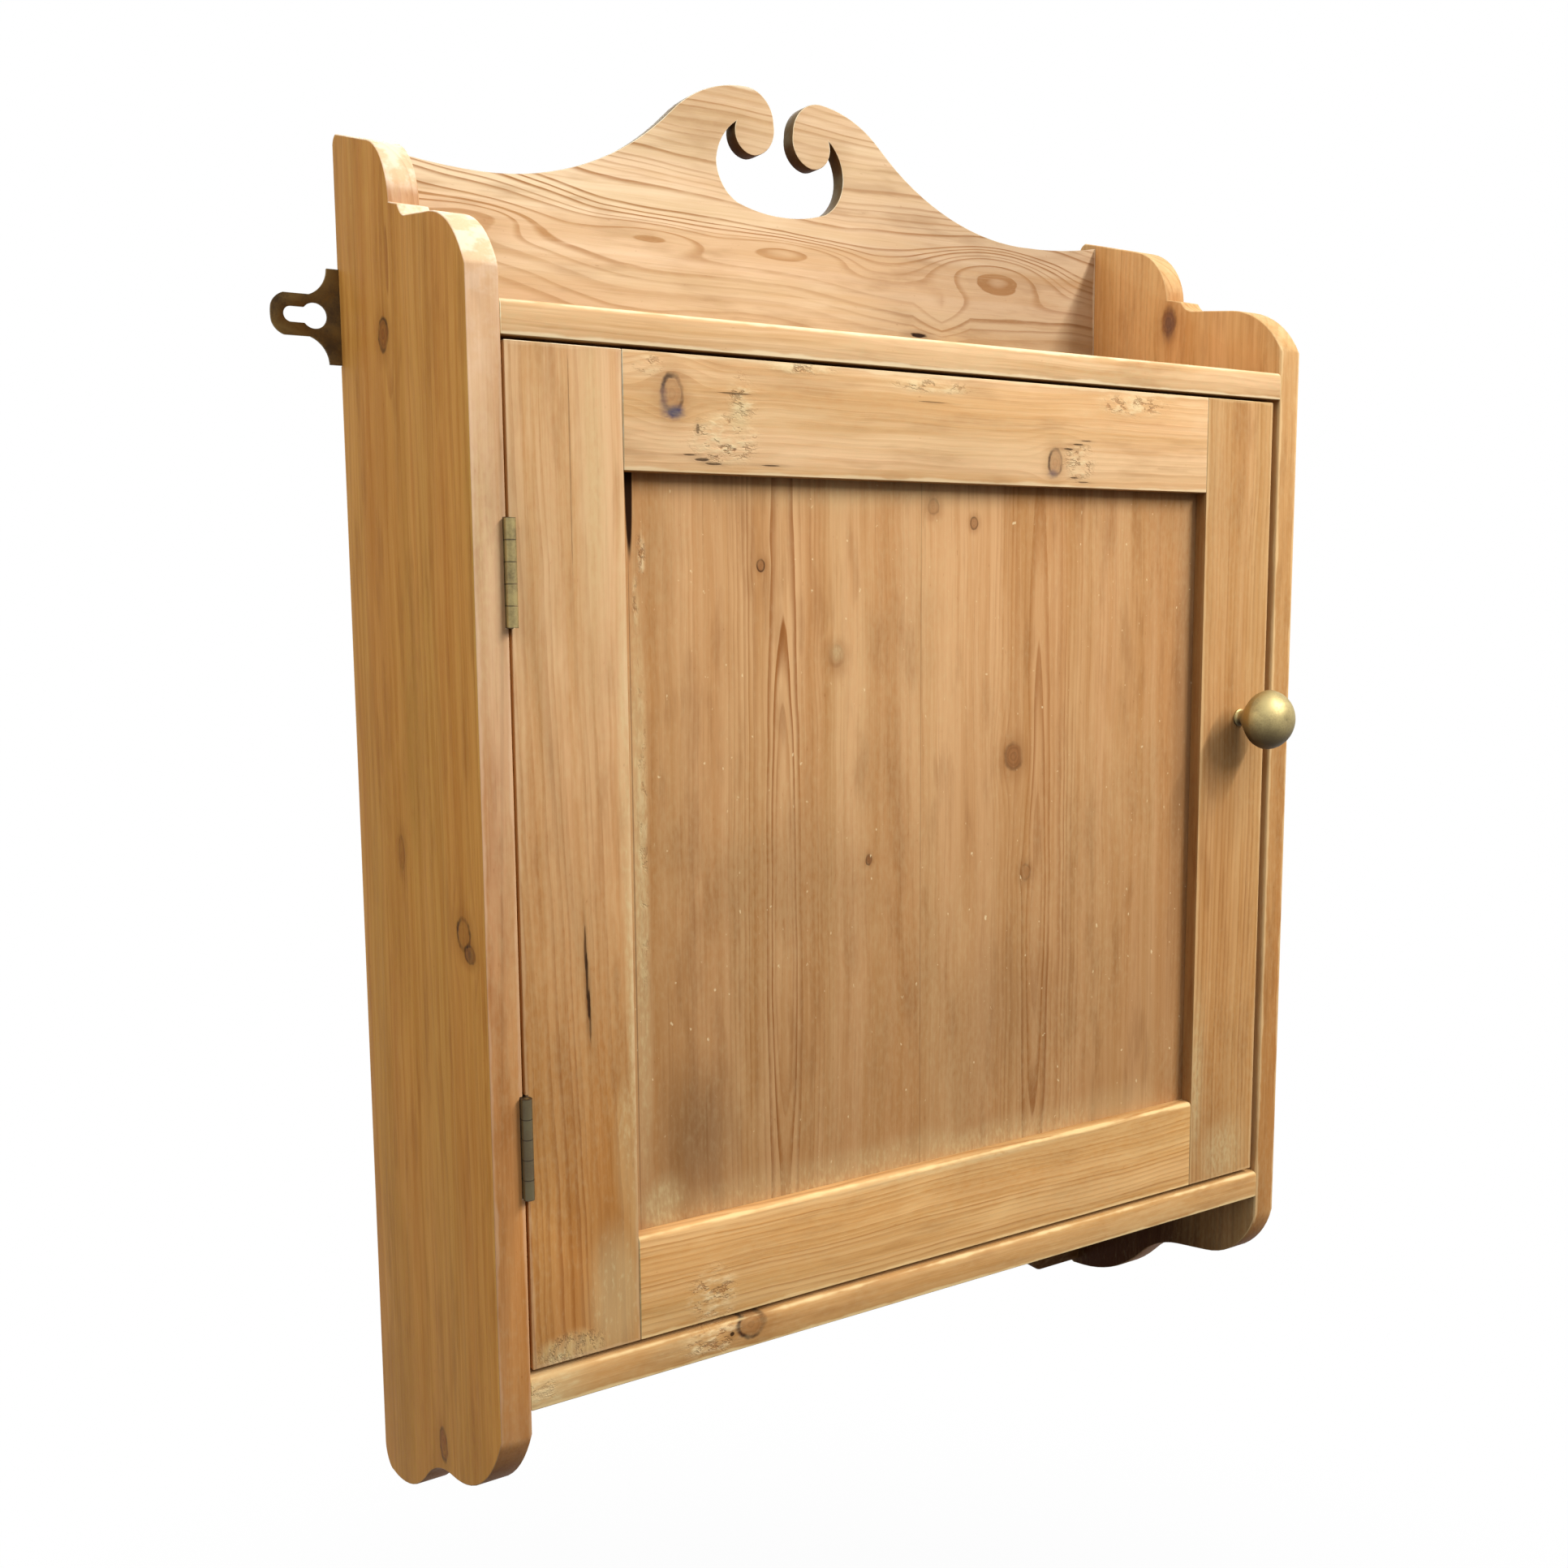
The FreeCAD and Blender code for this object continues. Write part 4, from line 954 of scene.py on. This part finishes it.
FITTINGS = {
    "knob": knob_brass, "knob_screw": steel, "upper_hinge_pin": screw_brass, "lower_hinge_pin": screw_brass,
    "hinge_frame_screws": screw_brass, "hinge_door_screws": screw_brass, "hanger_screws": bronze,
    "batten_screws": steel, "back_nails": steel, "catch_screws": steel, "keeper_screw": steel,
    "catch_keeper": steel, "catch_magnet": catch_plastic,
}
for node, finish in FITTINGS.items():
    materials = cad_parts[node].data.materials
    for number in range(len(materials)):
        materials[number] = finish

# The stage: a pale floor below the hanging cabinet, a white surround and three soft lamps.
cad_low, cad_high = cad_box
centre = (cad_low + cad_high) / 2
WHITE = (1.0, 1.0, 1.0, 1.0)
FLOOR_GREYS = ((0.05, 0.05, 0.05, 1.0), (0.07, 0.07, 0.07, 1.0))
# The share of the floor's own shade that is seen under the cabinet, and how far from there it begins to
# fade and is gone, in metres.
SHADOW_SHARE = 0.08
SHADOW_FADE = (0.5, 2.2)


def seen_directly(tree):
    """1 for rays from the camera, also by way of metal or glass, and 0 for those that bring light."""
    path = Shade(tree, tree.nodes.new("ShaderNodeLightPath").outputs["Is Camera Ray"])
    return largest(largest(path, path.also("Is Glossy Ray")), path.also("Is Transmission Ray"))


def pale_floor(drop, half_side):
    """A square sheet of floor that shows as white and keeps the cabinet's shadow."""
    middle = Vector((centre.x, centre.y, cad_low.z - drop))
    sheet = bmesh.new()
    bmesh.ops.create_grid(sheet, x_segments=4, y_segments=4, size=half_side)
    bmesh.ops.translate(sheet, verts=sheet.verts, vec=middle)
    data = bpy.data.meshes.new("floor")
    sheet.to_mesh(data)
    sheet.free()
    floor = bpy.data.objects.new("floor", data)
    bpy.context.scene.collection.objects.link(floor)
    material, shader, place = new_finish("floor_white")
    tree = material.node_tree
    put(shader, Base_Color=place.stretched(FLOOR_WAVES).noise(3.0).mix(*FLOOR_GREYS), Roughness=0.9)
    white = place.node("ShaderNodeEmission", {}, {"Color": WHITE, "Strength": 1.0})
    away = place.node("ShaderNodeVectorMath", {"operation": "DISTANCE"}, {0: place, 1: middle}, 1)
    whiteness = away.rise(*SHADOW_FADE).scaled(SHADOW_SHARE, 1 - SHADOW_SHARE)
    surface = place.node(
        "ShaderNodeMixShader",
        {},
        {0: seen_directly(tree) * whiteness, 1: Shade(tree, shader.outputs[0]), 2: white},
    )
    tree.links.new(surface.output, tree.nodes["Material Output"].inputs["Surface"])
    data.materials.append(material)


def white_surround(light_above, light_below):
    """A world that is plain white to look at and lights the cabinet softly, more from above."""
    world = bpy.data.worlds.new("surround")
    bpy.context.scene.world = world
    world.use_nodes = True
    tree = world.node_tree
    seen = seen_directly(tree)
    direction = seen.node("ShaderNodeTexCoord", {}, {}, "Generated")
    upward = seen.node("ShaderNodeSeparateXYZ", {}, {0: direction}, 2).rise(-0.2, 0.8)
    level = upward.scaled(light_above - light_below, light_below)
    background = tree.nodes["Background"]
    background.inputs["Color"].default_value = WHITE
    tree.links.new(largest(seen, level).output, background.inputs["Strength"])


def soft_lamp(name, place, target, wide, tall, power, tint):
    """A lamp that faces its target, with its tall side as near to upright as that allows."""
    data = bpy.data.lights.new(name, "AREA")
    data.shape = "RECTANGLE"
    data.size = wide
    data.size_y = tall
    data.energy = power
    data.color = tint
    lamp = bpy.data.objects.new(name, data)
    bpy.context.scene.collection.objects.link(lamp)
    lamp.location = place
    lamp.rotation_euler = (target - Vector(place)).to_track_quat("-Z", "Y").to_euler()


pale_floor(drop=1.1, half_side=6.0)
white_surround(light_above=1.28, light_below=0.01)
soft_lamp(
    "key_strip", (1.62, -3.2, 2.0), Vector((0.28, -3.2, 0.1)),
    wide=3.4, tall=0.08, power=202.0, tint=(1.0, 0.97, 0.94),
)
soft_lamp(
    "fill_lamp", (-1.8, -0.25, 0.5), centre + Vector((0.0, 0.0, 0.15)),
    wide=0.8, tall=0.8, power=6.5, tint=(1.0, 0.97, 0.93),
)
soft_lamp(
    "rear_lamp", (0.4, 1.8, 0.9), centre,
    wide=0.9, tall=0.9, power=9.0, tint=(1.0, 0.98, 0.96),
)

# The photograph's viewpoint: to the left of the cabinet, level with the upper half of the door. Its
# frame is in pixels, its place in metres and its turns in degrees.
PHOTO_SIDE = 1932
FOCAL_PIXELS = 1972.72
PRINCIPAL = (972.17, 982.19)
VIEWPOINT = (-0.5970, -0.9648, -0.1632)
PAN = -32.26
TILT = -7.25
ROLL = 0.41
view = bpy.data.cameras.new("photo_view")
view.sensor_width = 36.0
view.lens = FOCAL_PIXELS / PHOTO_SIDE * view.sensor_width
view.shift_x = (PHOTO_SIDE / 2 - PRINCIPAL[0]) / PHOTO_SIDE
view.shift_y = (PRINCIPAL[1] - PHOTO_SIDE / 2) / PHOTO_SIDE
camera = bpy.data.objects.new("photo_view", view)
bpy.context.scene.collection.objects.link(camera)
camera.matrix_world = (
    Matrix.Translation(VIEWPOINT)
    @ Matrix.Rotation(radians(PAN), 4, "Z")
    @ Matrix.Rotation(radians(TILT), 4, "X")
    @ Matrix.Rotation(radians(ROLL), 4, "Y")
    @ Matrix.Rotation(radians(90.0), 4, "X")
)
bpy.context.scene.camera = camera
bpy.context.scene.view_settings.view_transform = "Standard"
